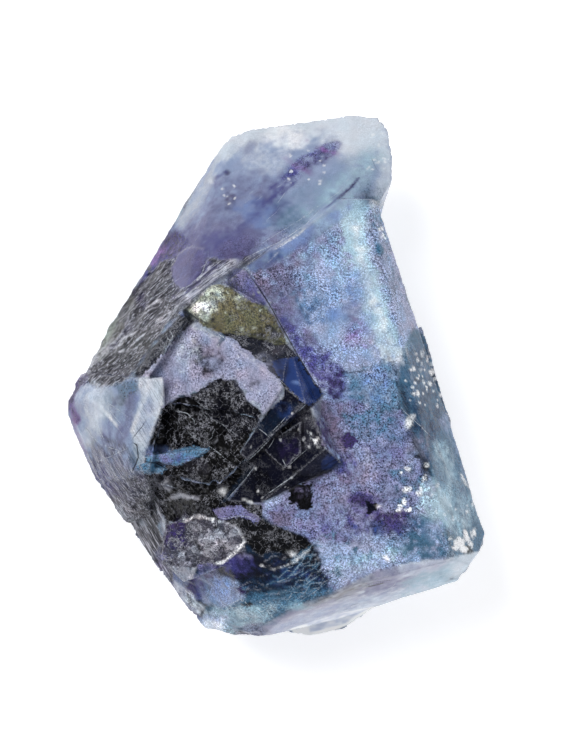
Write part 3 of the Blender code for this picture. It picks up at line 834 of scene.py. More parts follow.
    s.scatter("frost", [(395, 458), (440, 512)], 16, 3.0, seed=12, amount=0.9, frost=0.8)
    s.patch("frost", 406, 488, 7, 4, 20, amount=0.9, frost=0.9)
    s.patch("frost", 417, 492, 6, 3, -20, amount=0.9, frost=0.9)
    s.patch("frost", 385, 556, 6, 4, -40, amount=0.8, frost=0.9)
    s.patch("frost", 378, 504, 7, 5, 40, amount=0.8, frost=0.8)
    s.lines_of("dark_line",
               ([(380, 268), (382, 273), (385, 279)], 1.4, 0.0),
               ([(391, 284), (393, 290), (395, 296)], 1.4, 0.0),
               ([(244, 270), (255, 283), (267, 301), (275, 315), (290, 342), (299, 358), (312, 379),
                 (322, 393)], 2.4, 0.0),
               ([(340, 373), (348, 373), (358, 371), (370, 371)], 1.3, 0.0))


def right_side(s):
    """The teal shoulder, with its chipped crest and the flow lines below it."""
    s.fill("teal", [(411, 327), (425, 323), (436, 345), (446, 380), (452, 410), (462, 440), (478, 478),
            (488, 510), (488, 542), (472, 556), (452, 556), (447, 530), (440, 505), (428, 486), (420, 470),
            (410, 440), (399, 410), (397, 380), (402, 345)], wobble=1.0, cloud=0.88, rough=0.2, salt=0.25,
           pepper=0.4, lower_fibre=0.12, swell=0.4, hackle=0.1)
    s.fill("sea", [(404, 352), (436, 350), (446, 380), (452, 410), (436, 440), (430, 484), (412, 452),
            (399, 410)], amount=0.35, soft=5, wobble=6)
    s.patches(("azure", 428, 424, 34, 70, -15, 0.35, 0.8), ("teal", 424, 388, 40, 50, -15, 0.5, 0.8),
              ("sky", 424, 380, 44, 90, -15, 0.14, 0.8), ("smoke", 424, 350, 24, 40, -15, 0.3, 0.5),
              ("sea", 424, 416, 34, 60, -15, 0.5, 0.6))
    s.stroke("sea", [(404, 420), (412, 442), (420, 462), (430, 484)], 11, amount=0.9, soft=3, wobble=3)
    s.stroke("navy", [(416, 448), (424, 464), (430, 478)], 6, amount=0.7, soft=2, wobble=2)
    s.stroke("cyan", [(438, 446), (449, 474), (457, 498)], 13, amount=0.55, soft=5, wobble=4)
    s.stroke("mist", [(446, 420), (462, 452), (476, 486), (482, 510)], 12, amount=0.5, soft=4, wobble=3)
    s.patch("violet", 461, 489, 6, 5, 0, amount=0.5)
    s.scatter("frost", [(408, 350), (442, 372)], 22, 3.5, seed=21, amount=0.6, frost=0.5)
    s.scatter("frost", [(404, 368), (442, 406)], 44, 2.9, seed=22, frost=0.9, lift=0.08)
    s.scatter("navy", [(412, 366), (440, 396)], 14, 5, seed=23, amount=0.5)
    s.patch("frost", 407, 423, 7, 13, -15, patchy=0.9, frost=1.0, lift=0.12)
    s.patch("frost", 411, 416, 6, 4, 30, amount=0.8, frost=0.9)
    s.patch("frost", 423, 477, 3, 7, -25, amount=0.9, frost=0.9)
    s.scatter("frost", [(440, 500), (478, 546)], 20, 2.6, seed=24, amount=0.9, frost=0.9)
    s.patch("frost", 460, 541, 7, 6, 30, patchy=0.9, frost=1.0)
    s.patch("frost", 471, 534, 4, 9, 15, amount=0.9, patchy=0.9, frost=1.0)
    s.scatter("frost", [(452, 532), (472, 550)], 22, 3.0, seed=25, frost=1.0, lift=0.06)
    s.line("bright_line", [(397, 403), (404, 412), (412, 419), (424, 430), (433, 439)], 1.6)
    s.line("bright_line", [(462, 478), (468, 486), (475, 494)], 1.6)
    s.stroke("frost", [(460, 474), (466, 484), (474, 492)], 2.5, amount=0.7, taper=0.8, frost=0.7)


def corner_flow(s):
    """Where the broad face and the shoulder run into each other above the lower right corner."""
    s.fill("teal", [(396, 548), (418, 508), (436, 474), (468, 480), (488, 510), (488, 542), (470, 556),
            (444, 557), (410, 560)], amount=0.5, soft=9, wobble=7, salt=0.3, pepper=0.4, cloud=0.88)
    s.fill("cyan", [(416, 484), (430, 476), (448, 494), (462, 524), (448, 532), (430, 512)], amount=0.7,
           soft=6, wobble=6, salt=0.2, pepper=0.15)
    s.patch("cyan", 466, 520, 24, 44, -20, amount=0.4, patchy=1.0)
    s.stroke("sea", [(420, 468), (430, 484), (440, 500), (452, 516)], 4, amount=0.6, soft=2.5, wobble=3,
             taper=0.6)
    s.stroke("sea", [(444, 528), (456, 538), (462, 548)], 6, amount=0.4, soft=3, wobble=4, taper=0.6)
    s.stroke("sea", [(406, 430), (414, 448), (424, 470)], 8, amount=0.6, soft=3, wobble=5)
    s.stroke("navy", [(415, 450), (422, 464), (430, 480)], 4, amount=0.6, soft=2, wobble=3, taper=0.5)
    s.patch("cyan", 438, 502, 22, 26, -35, amount=0.5, patchy=1.0)
    s.patch("soot", 468, 550, 14, 9, -30, patchy=1.4, cloud=1.0)
    for u, v, width, height, angle in ((458, 541, 9, 6, 20), (466, 535, 5, 10, 15), (473, 532, 4, 9, 10),
                                       (462, 548, 6, 5, -20), (470, 543, 5, 4, 0), (452, 546, 5, 4, 30)):
        s.patch("frost", u, v, width, height, angle, patchy=1.2, frost=1.0, lift=0.05)
    for path in ([(440, 452), (450, 478), (462, 508)], [(448, 450), (458, 474), (468, 496)],
                 [(430, 430), (440, 456), (448, 476)], [(424, 508), (436, 522), (444, 540)],
                 [(408, 524), (420, 536), (428, 548)]):
        s.line("bright_line", path, 1.2, broken=0.8)
    for path in ([(428, 474), (442, 492), (452, 510)], [(436, 500), (450, 518), (458, 534)],
                 [(416, 520), (432, 532), (442, 546)], [(452, 500), (464, 516), (470, 528)]):
        s.line("bright_line_b", path, 1.2, broken=0.8)


def bottom_edge(s):
    """The long bevel along the bottom, and the thin clear ledge under it."""
    s.fill("ice", [(262, 624), (290, 606), (330, 590), (370, 571), (410, 560), (444, 557), (472, 552),
            (486, 550), (460, 585), (424, 598), (384, 609), (343, 617), (311, 626), (290, 633), (268, 637)],
           soft=0.8, wobble=0.5, cloud=0.92, rough=0.18, salt=0.06, pepper=0.1, swell=0.2, hackle=0.0)
    s.stroke("umber", [(264, 622), (292, 609), (330, 594), (365, 579), (392, 571)], 14, amount=0.7, soft=3,
             wobble=1.5, cloud=0.9)
    s.stroke("olive", [(306, 604), (336, 596), (362, 586)], 12, amount=0.35, soft=4, wobble=2)
    s.stroke("lavender", [(380, 575), (410, 567), (440, 563)], 13, amount=0.7, soft=4, wobble=2)
    s.stroke("lavender", [(340, 604), (376, 590), (420, 578), (456, 566)], 16, amount=0.6, soft=5, wobble=4)
    s.patch("lilac", 392, 582, 64, 14, 12, amount=0.8, patchy=1.0)
    s.stroke("lavender", [(268, 630), (300, 616), (330, 606)], 16, amount=0.75, soft=4, wobble=2, cloud=1.0)
    s.stroke("mist", [(280, 630), (330, 612), (384, 597), (440, 582)], 14, amount=0.35, soft=4, wobble=2)
    s.patches(("cyan", 440, 576, 66, 26, 20, 0.8, 0.8), ("teal", 440, 572, 60, 16, 20, 0.25, 1.0),
              ("ice", 462, 566, 24, 18, 30, 0.7, 0.5))
    s.lines_of("dark_line",
               ([(365, 585), (374, 583), (385, 580.5)], 2.4, 0.0),
               ([(358, 587), (372, 580), (386, 578), (394, 580)], 1.0, 0.6),
               ([(330, 600), (344, 594), (358, 592)], 1.0, 0.6),
               ([(341, 612), (352, 604), (371, 600)], 1.0, 0.7))
    s.line("bright_line", [(386, 589), (392, 585), (396, 579)], 1.4)
    s.line("bright_line", [(300, 611), (318, 604), (334, 600)], 1.2, broken=0.6)
    # painted glow: the thin clear ledge is painted near-white frost, lighter than the shade it lies in
    s.fill("frost", [(290, 628), (311, 621), (343, 612), (376, 606), (358, 622), (337, 631), (314, 640),
            (294, 636)], soft=0.8, wobble=0.4, cloud=0.9, rough=0.2, hackle=0.0, swell=0.2, salt=0.0,
           pepper=0.0)
    s.fill("sky", [(306, 622), (340, 613), (368, 609), (346, 624), (310, 634)], amount=0.35, soft=1.0,
           wobble=0.5)


def scooped_face(s):
    """Black at the top, deep blue-green crinkles in the middle, pale tips at the bottom."""
    area = [(218, 518), (258, 506), (262, 512), (274, 523), (301, 533), (314, 544), (330, 590),
            (290, 606), (263, 624),
            (264, 642), (232, 640), (222, 638), (200, 634), (186, 600), (190, 566), (218, 562),
            (227, 557), (246, 541),
            (238, 527)]
    s.fill("sea", area, soft=1.2, wobble=0.8, cloud=0.97, rough=0.2, salt=0.5, pepper=0.4, ripple=1.0,
           swell=0.1, hackle=0.0)
    s.fill("teal", [(244, 596), (262, 590), (300, 590), (331, 588), (292, 606), (262, 626), (226, 632),
            (200, 630), (202, 606)], amount=0.9, soft=4, wobble=4, cloud=0.85)
    s.fill("cyan", [(204, 610), (240, 604), (274, 606), (264, 622), (250, 628), (222, 640), (200, 634)],
           amount=0.65, soft=5, wobble=4, cloud=0.55)
    s.fill("mist", [(193, 576), (214, 566), (236, 578), (244, 598), (224, 608), (204, 602)], amount=0.8,
           soft=3, wobble=3, ripple=0.3)
    s.patch("sky", 218, 588, 30, 26, 0, amount=0.45, patchy=1.2)
    s.fill("violet", [(186, 578), (200, 572), (207, 590), (198, 602), (186, 594)], amount=0.6, soft=3,
           wobble=3)
    s.fill("navy", [(214, 564), (240, 545), (264, 555), (264, 567), (248, 578), (234, 578), (220, 573)],
           amount=0.95, soft=2.5, wobble=2, ripple=0.25, salt=0.5)
    s.patch("violet", 234, 564, 34, 20, -20, amount=0.55, patchy=0.8)
    s.fill("navy", [(258, 560), (300, 556), (314, 545), (327, 578), (306, 584), (280, 580), (256, 576)],
           amount=0.7, soft=4, wobble=4)
    s.fill("navy", [(252, 552), (286, 552), (314, 548), (322, 566), (300, 572), (276, 570), (256, 566)],
           amount=0.7, soft=4, wobble=4)
    s.patches(("azure", 300, 574, 50, 24, 0, 0.5, 1.2), ("teal", 306, 580, 40, 12, -10, 0.4, 1.4),
              ("cyan", 290, 602, 50, 10, -14, 0.5, 1.4), ("cyan", 250, 612, 40, 14, 0, 0.4, 1.4),
              ("azure", 322, 580, 16, 22, 0, 0.45, 1.2))
    s.fill("soot", [(220, 518), (240, 516), (258, 514), (274, 523), (301, 533), (315, 545), (306, 550),
            (287, 551), (270, 549), (262, 554), (246, 543), (239, 528)], web=0.4, ripple=0.6, cloud=0.98,
           salt=0.2)
    s.patches(("plum", 243, 587, 18, 12, 20, 0.8, 1.0), ("teal", 246, 586, 7, 5, 0, 0.8, 0.5),
              ("plum", 192, 586, 9, 14, 0, 0.5, 1.2), ("soot", 248, 602, 10, 4, 5, 0.8, 1.2),
              ("navy", 280, 594, 10, 6, 0, 0.7, 1.0))
    s.stroke("frost", [(261, 563), (273, 567), (287, 563), (298, 556), (308, 548)], 1.8, amount=0.7,
             soft=1.0, wobble=1.4, taper=0.7, lift=0.15, frost=0.5)
    s.patch("frost", 292, 551, 9, 5, -25, amount=0.6, patchy=1.2, frost=0.5)
    # crinkled crests that curve round the struck point; their bright lines are partly painted highlight
    for k in range(14):
        reach = 118 + 4.6 * k
        start, stop = 0.72 - 0.06 * (k % 3), 1.16 + 0.07 * (k % 4)
        arc = [(240 + reach * cos(a) * 0.95, 453 + reach * sin(a)) for a in np.linspace(start, stop, 12)]
        arc = [(u + 2.6 * sin(2.9 * j + k), v + 2.2 * cos(3.4 * j + 2 * k)) for j, (u, v) in enumerate(arc)]
        arc = [(u, v) for u, v in arc if v < BEVEL_LINE - 0.5 * u]
        if len(arc) < 2:
            continue
        s.line("bright_line" if k % 2 else "bright_line_b", arc, 1.3, broken=0.8)
        s.stroke("teal", arc, 1.8, amount=0.6, wobble=1.6, taper=0.6, lift=0.08)
    for path in ([(257, 598), (264, 603), (270, 611), (275, 617)], [(262, 598), (270, 601), (274, 608)],
                 [(256, 604), (262, 610), (266, 606)], [(228, 604), (238, 599), (246, 596)],
                 [(238, 597), (246, 600), (252, 606)], [(222, 612), (232, 606), (243, 605)]):
        s.line("bright_line", path, 1.8, broken=0.4)
    s.fill("lilac", [(170, 580), (178, 590), (196, 610), (206, 622), (198, 626), (184, 606), (170, 590)],
           amount=0.8, wobble=1.0, cloud=0.55)
    s.fill("ice", [(174, 580), (192, 592), (208, 612), (202, 620), (186, 606), (172, 592)], amount=0.6,
           soft=2, wobble=1, cloud=0.9)
    s.stroke("violet", [(168, 584), (180, 600), (192, 616)], 4, amount=0.5, soft=2, wobble=2)
    s.patch("mist", 212, 624, 34, 18, 20, cloud=0.9, pepper=0.0)
    s.patch("ice", 213, 626, 26, 14, 20, amount=0.8)
    s.fill("lavender", [(232, 624), (262, 622), (272, 632), (250, 642), (240, 642)], amount=0.6, wobble=1,
           cloud=0.5)
    s.line("dark_line", [(223, 629), (228, 629.6), (233, 629)], 2.2)


def whitish_lump(s):
    """The frosted lump below the black pit, and the lilac strip above it."""
    s.fill("smoke", [(166, 524), (181, 516), (200, 515), (222, 518), (239, 527), (247, 541), (240, 549),
            (228, 557), (218, 563), (195, 567), (173, 565), (157, 557), (163, 540)], soft=1.2, wobble=1.2,
           cloud=0.95, rough=0.4, web=0.85, salt=1.0, pepper=1.0, coarse=0.9, swell=0.4, hackle=0.0)
    s.patch("silver", 218, 538, 36, 30, 0, amount=0.2, patchy=1.2)
    s.scatter("soot", [(180, 518), (244, 560)], 30, 5.0, seed=71, amount=0.6)
    s.patch("plum", 175, 534, 20, 30, 0, amount=0.75, patchy=1.2, salt=0.6)
    s.patches(("lilac", 166, 556, 16, 14, 0, 0.7, 1.0), ("plum", 189, 558, 8, 9, 30, 0.3, 1.2),
              ("silver", 184, 556, 18, 14, 0, 0.3, 1.4))
    s.fill("lilac", [(199, 562), (217, 562), (216, 575), (206, 577), (199, 570)], amount=0.7, web=0.0)
    s.fill("silver", [(172, 566), (196, 567), (194, 576), (186, 582), (178, 576)], amount=0.6, wobble=2.0,
           web=0.8)
    s.stroke("frost", [(240, 529), (245, 540), (234, 552), (224, 560), (216, 562)], 1.8, amount=0.7,
             soft=1.0, wobble=1.4, taper=0.5, lift=0.1, frost=0.5)
    s.stroke("frost", [(181, 517), (187, 520), (194, 516), (206, 517), (220, 519)], 1.8, amount=0.7,
             soft=1.0, wobble=1.4, taper=0.4, lift=0.1, frost=0.5)
    s.stroke("silver", [(222, 519), (236, 525), (243, 532)], 2.0, amount=0.6, wobble=1.0)
    s.plate("lilac", [(213, 508), (224, 505), (241, 503), (249, 509), (256, 512), (260, 518), (258, 522),
             (246, 516), (232, 516), (222, 519), (216, 514)], cloud=0.95, rough=0.3, web=0.3, salt=1.0,
            pepper=0.8, steps=0.0)
    s.line("bright_line", [(216, 515), (226, 517), (240, 514), (250, 515), (259, 521)], 1.8)


def fibrous_slope(s):
    """Grey fibres that run down the lower left side."""
    s.fill("smoke", [(132, 466), (150, 470), (166, 476), (166, 500), (158, 526), (164, 540), (157, 557),
            (173, 567), (172, 582), (158, 590), (140, 564), (124, 540), (110, 505), (100, 480), (104, 462)],
           soft=2.0, wobble=2.5, cloud=0.9, rough=0.35, lower_fibre=1.0, swell=0.3, hackle=0.0, salt=0.4,
           pepper=0.4)
    # painted sheen: a silver band down the fibres
    s.stroke("silver", [(120, 500), (136, 524), (150, 552), (160, 574)], 16, amount=0.35, soft=5, wobble=4)
    s.stroke("soot", [(150, 482), (156, 500), (152, 526), (156, 548)], 9, amount=0.45, soft=4, wobble=4)
    s.patches(("soot", 155, 556, 9, 16, 0, 0.6, 1.2), ("lilac", 140, 480, 30, 18, 40, 0.4, 1.2),
              ("lilac", 160, 572, 22, 14, 30, 0.5, 1.0))


def left_side(s):
    """The pale lobe with its purple rim, its cracks and the ice-blue thumb."""
    s.fill("mist", [(60, 395), (70, 380), (84, 382), (92, 384), (100, 388), (119, 385), (135, 377),
            (146, 376), (162, 377), (166, 390), (163, 406), (157, 424), (151, 438), (148, 450), (146, 464),
            (140, 474), (120, 480), (104, 484), (90, 480), (76, 450), (64, 420)], soft=1.2, wobble=1.0,
           cloud=0.72, rough=0.18, lower_fibre=0.08, swell=0.8, hackle=0.0, salt=0.12, pepper=0.15)
    s.patches(("ice", 98, 400, 40, 26, -20, 0.8, 0.6), ("lavender", 92, 412, 34, 34, 0, 0.5, 1.0),
              ("teal", 112, 406, 26, 32, -30, 0.4, 1.0))
    s.fill("teal", [(117, 386), (136, 379), (142, 384), (136, 396), (124, 400)], amount=0.8, soft=3,
           wobble=3, pepper=0.9)
    s.patch("navy", 127, 402, 16, 10, -20, amount=0.45, patchy=1.4)
    s.stroke("lilac", [(135, 398), (130, 420), (122, 440)], 12, amount=0.7, soft=4, wobble=3)
    s.patch("violet", 108, 436, 9, 16, -20, amount=0.5, patchy=1.2)
    for path in ([(92, 392), (110, 408), (128, 430)], [(80, 400), (96, 420), (112, 452)], [(100, 396),
                                                                                           (124, 412),
                                                                                           (134, 420)],
                 [(86, 430), (102, 444), (128, 452)], [(96, 462), (112, 456), (132, 446)]):
        s.line("bright_line_b", path, 1.6, broken=0.5)
    for path, width in (([(118, 398), (112, 420), (102, 446)], 5), ([(128, 404), (126, 424), (118, 450)], 4),
                        ([(88, 424), (98, 446), (106, 468)], 4)):
        s.stroke("violet", path, width, amount=0.35, soft=3, wobble=3, taper=0.5)
    s.stroke("frost", [(90, 398), (104, 408), (118, 424)], 3, amount=0.6, soft=2, wobble=2, taper=0.6)
    s.patch("violet", 94, 416, 12, 12, 0, amount=0.3, patchy=1.2)
    s.stroke("violet", [(100, 456), (106, 466), (110, 474)], 3, amount=0.6, soft=2, wobble=1.5)
    s.patches(("ice", 92, 424, 20, 44, -15, 0.75, 0.8), ("smoke", 106, 456, 40, 36, -30, 0.35, 1.2),
              ("smoke", 92, 462, 20, 24, -30, 0.35, 1.2))
    s.stroke("magenta", [(84, 378), (74, 388), (69, 398), (72, 408), (77, 420)], 8, amount=0.95, soft=2.5,
             wobble=2.0, cloud=0.7)
    s.stroke("violet", [(86, 379), (78, 386), (72, 396), (70, 408)], 7, amount=0.6, soft=2, wobble=3)
    s.stroke("plum", [(84, 380), (80, 386), (72, 394), (70, 404)], 5, amount=0.75, soft=2, wobble=2.5)
    s.stroke("plum", [(73, 410), (78, 420)], 3, amount=0.5, soft=2, wobble=1.5)
    s.stroke("magenta", [(72, 420), (80, 440), (88, 460), (96, 478)], 6, amount=0.6, soft=2.5, wobble=3.0)
    s.fill("umber", [(84, 452), (104, 448), (130, 452), (146, 466), (144, 482), (130, 496), (112, 492),
            (98, 482)], amount=0.5, soft=7, wobble=6, lower_fibre=0.5, salt=0.3, pepper=0.4)
    s.fill("smoke", [(98, 474), (120, 470), (140, 472), (146, 488), (130, 502), (112, 496)], amount=0.45,
           soft=6, wobble=6, lower_fibre=0.8)
    s.patch("lilac", 112, 486, 50, 24, -8, amount=0.5, patchy=0.9, lower_fibre=0.5)
    s.patch("umber", 112, 468, 60, 30, -8, amount=0.5, patchy=1.2, lower_fibre=0.8)
    s.patch("violet", 103, 482, 14, 26, 0, amount=0.45, patchy=1.2)
    s.patch("soot", 134, 486, 26, 18, -20, amount=0.4, patchy=1.6, lower_fibre=0.9)
    s.fill("ice", [(140, 378), (150, 377), (162, 377), (166, 390), (163, 406), (157, 424), (150, 440),
            (147, 462), (139, 466), (134, 444), (132, 430), (138, 410), (142, 394)], amount=0.9, soft=2.0,
           wobble=2.0, cloud=0.72, lower_fibre=0.5)
    s.patches(("sky", 148, 414, 16, 50, 12, 0.3, 0.8), ("teal", 140, 460, 14, 26, 8, 0.4, 1.0))
    s.stroke("frost", [(162, 378), (165, 389), (163, 404), (158, 418)], 1.6, amount=0.8, soft=1.0)
    s.stroke("frost", [(158, 418), (153, 432), (149, 444)], 1.4, amount=0.5, soft=1.0, wobble=1.0)
    s.stroke("frost", [(150, 380), (147, 396), (140, 414), (134, 430)], 3, amount=0.5, soft=1.5, wobble=2.0)
    s.lines_of("dark_line",
               ([(149, 418), (144, 426), (139, 432), (133, 440)], 1.5, 0.0),
               ([(133, 441), (139, 444), (140, 457), (135, 468), (133, 472)], 2.6, 0.0),
               ([(82, 422), (90, 430), (96, 440), (104, 456)], 1.0, 0.6))
    s.line("bright_line_b", [(92, 404), (108, 416), (120, 428), (128, 440)], 1.2, broken=0.6)
    s.line("bright_line_b", [(84, 410), (96, 426), (108, 446)], 1.2, broken=0.7)


def silky_slope(s):
    """Grey fibres on the upper left with a painted silver sheen, and an olive translucent outer edge."""
    s.fill("smoke", [(70, 388), (84, 374), (100, 344), (106, 322), (118, 300), (140, 284), (160, 262),
            (190, 258), (236, 262), (230, 274), (214, 284), (200, 296), (187, 312), (172, 322), (152, 348),
            (136, 372), (119, 385), (100, 389), (86, 384)], soft=2.0, cloud=0.9, rough=0.32,
           upper_fibre=1.0, swell=0.3, hackle=0.0, salt=0.35, pepper=0.35)
    # painted sheen: a silver band across the fibres
    s.fill("silver", [(140, 330), (160, 318), (184, 300), (204, 284), (226, 266), (234, 268), (212, 284),
            (188, 308), (168, 322), (150, 338)], amount=0.3, soft=3, wobble=3)
    s.fill("lilac", [(178, 280), (206, 262), (236, 262), (232, 272), (200, 296), (186, 304)], amount=0.5,
           soft=4, wobble=3)
    s.fill("olive", [(100, 345), (106, 322), (118, 300), (132, 292), (136, 302), (130, 320), (118, 334),
            (108, 350)], amount=0.55, soft=3, wobble=2, cloud=0.55, upper_fibre=0.5)
    s.fill("celadon", [(96, 356), (104, 322), (114, 302), (122, 296), (124, 308), (112, 330), (106, 350),
            (100, 360)], amount=0.7, soft=3, wobble=2, cloud=0.6)
    s.patch("umber", 120, 312, 16, 30, 25, amount=0.4, patchy=1.2)
    # painted sheen: silver streaks on the fibres
    s.stroke("silver", [(84, 374), (96, 356), (110, 346), (122, 338)], 7, amount=0.6, soft=3, wobble=2.5,
             frost=0.3)
    s.patches(("plum", 141, 302, 10, 16, 20, 0.7, 1.2), ("soot", 139, 312, 10, 24, 30, 0.5, 1.2))
    s.stroke("plum", [(132, 330), (118, 340), (111, 350)], 3.5, amount=0.7, soft=1.5, wobble=2.0)
    s.fill("soot", [(112, 352), (128, 338), (156, 326), (158, 340), (146, 356), (128, 370), (112, 368)],
           amount=0.6, soft=4, wobble=5, web=0.3)
    s.patch("smoke", 108, 374, 34, 18, -25, amount=0.6)
    s.stroke("silver", [(190, 300), (204, 288), (222, 274), (236, 264)], 9, amount=0.6, soft=3, wobble=3)
    s.patch("soot", 134, 354, 36, 26, -36, amount=0.6, patchy=1.4)
    s.stroke("soot", [(108, 366), (128, 350), (152, 334)], 12, amount=0.5, soft=4, wobble=5)
    s.fill("lilac", [(174, 268), (180, 254), (192, 248), (206, 250), (208, 262), (202, 274), (193, 286),
            (182, 291), (174, 284)], soft=2.0, lift=0.2, cloud=0.92, rough=0.15, upper_fibre=0.0, salt=0.15,
           pepper=0.15)
    s.patches(("violet", 192, 266, 40, 60, 10, 0.6, 0.5), ("umber", 190, 268, 34, 44, 10, 0.45, 0.7),
              ("plum", 196, 274, 16, 24, 30, 0.3, 0.8))
    # painted highlights: short silver streaks along the fibres
    for path, width in (([(146, 311), (156, 304), (171, 296)], 4.0), ([(140, 320), (150, 312),
                                                                       (160, 306)], 2.0),
                        ([(110, 352), (124, 340), (140, 332)], 2.4), ([(150, 330), (170, 318),
                                                                       (190, 300)], 2.0),
                        ([(158, 322), (178, 308), (198, 290)], 1.6), ([(196, 292), (212, 280),
                                                                       (232, 266)], 2.4),
                        ([(120, 352), (134, 344), (150, 332)], 1.6), ([(176, 300), (190, 290),
                                                                       (204, 276)], 1.6)):
        s.stroke("silver", path, 0.6 * width, amount=0.75, soft=0.9, wobble=1.4, taper=0.8, lift=0.1,
                 frost=0.35)
    for path in ([(134, 342), (150, 332), (172, 314), (186, 304)], [(126, 356), (140, 346), (150, 338)],
                 [(112, 340), (128, 326), (142, 312)], [(150, 300), (172, 286), (184, 278)]):
        s.line("bright_line", path, 1.4, broken=0.7)
    for path in ([(130, 350), (150, 334), (170, 318)], [(140, 322), (158, 308), (172, 300)],
                 [(182, 302), (200, 288), (222, 272)]):
        s.line("dark_line", path, 1.6, broken=0.6)


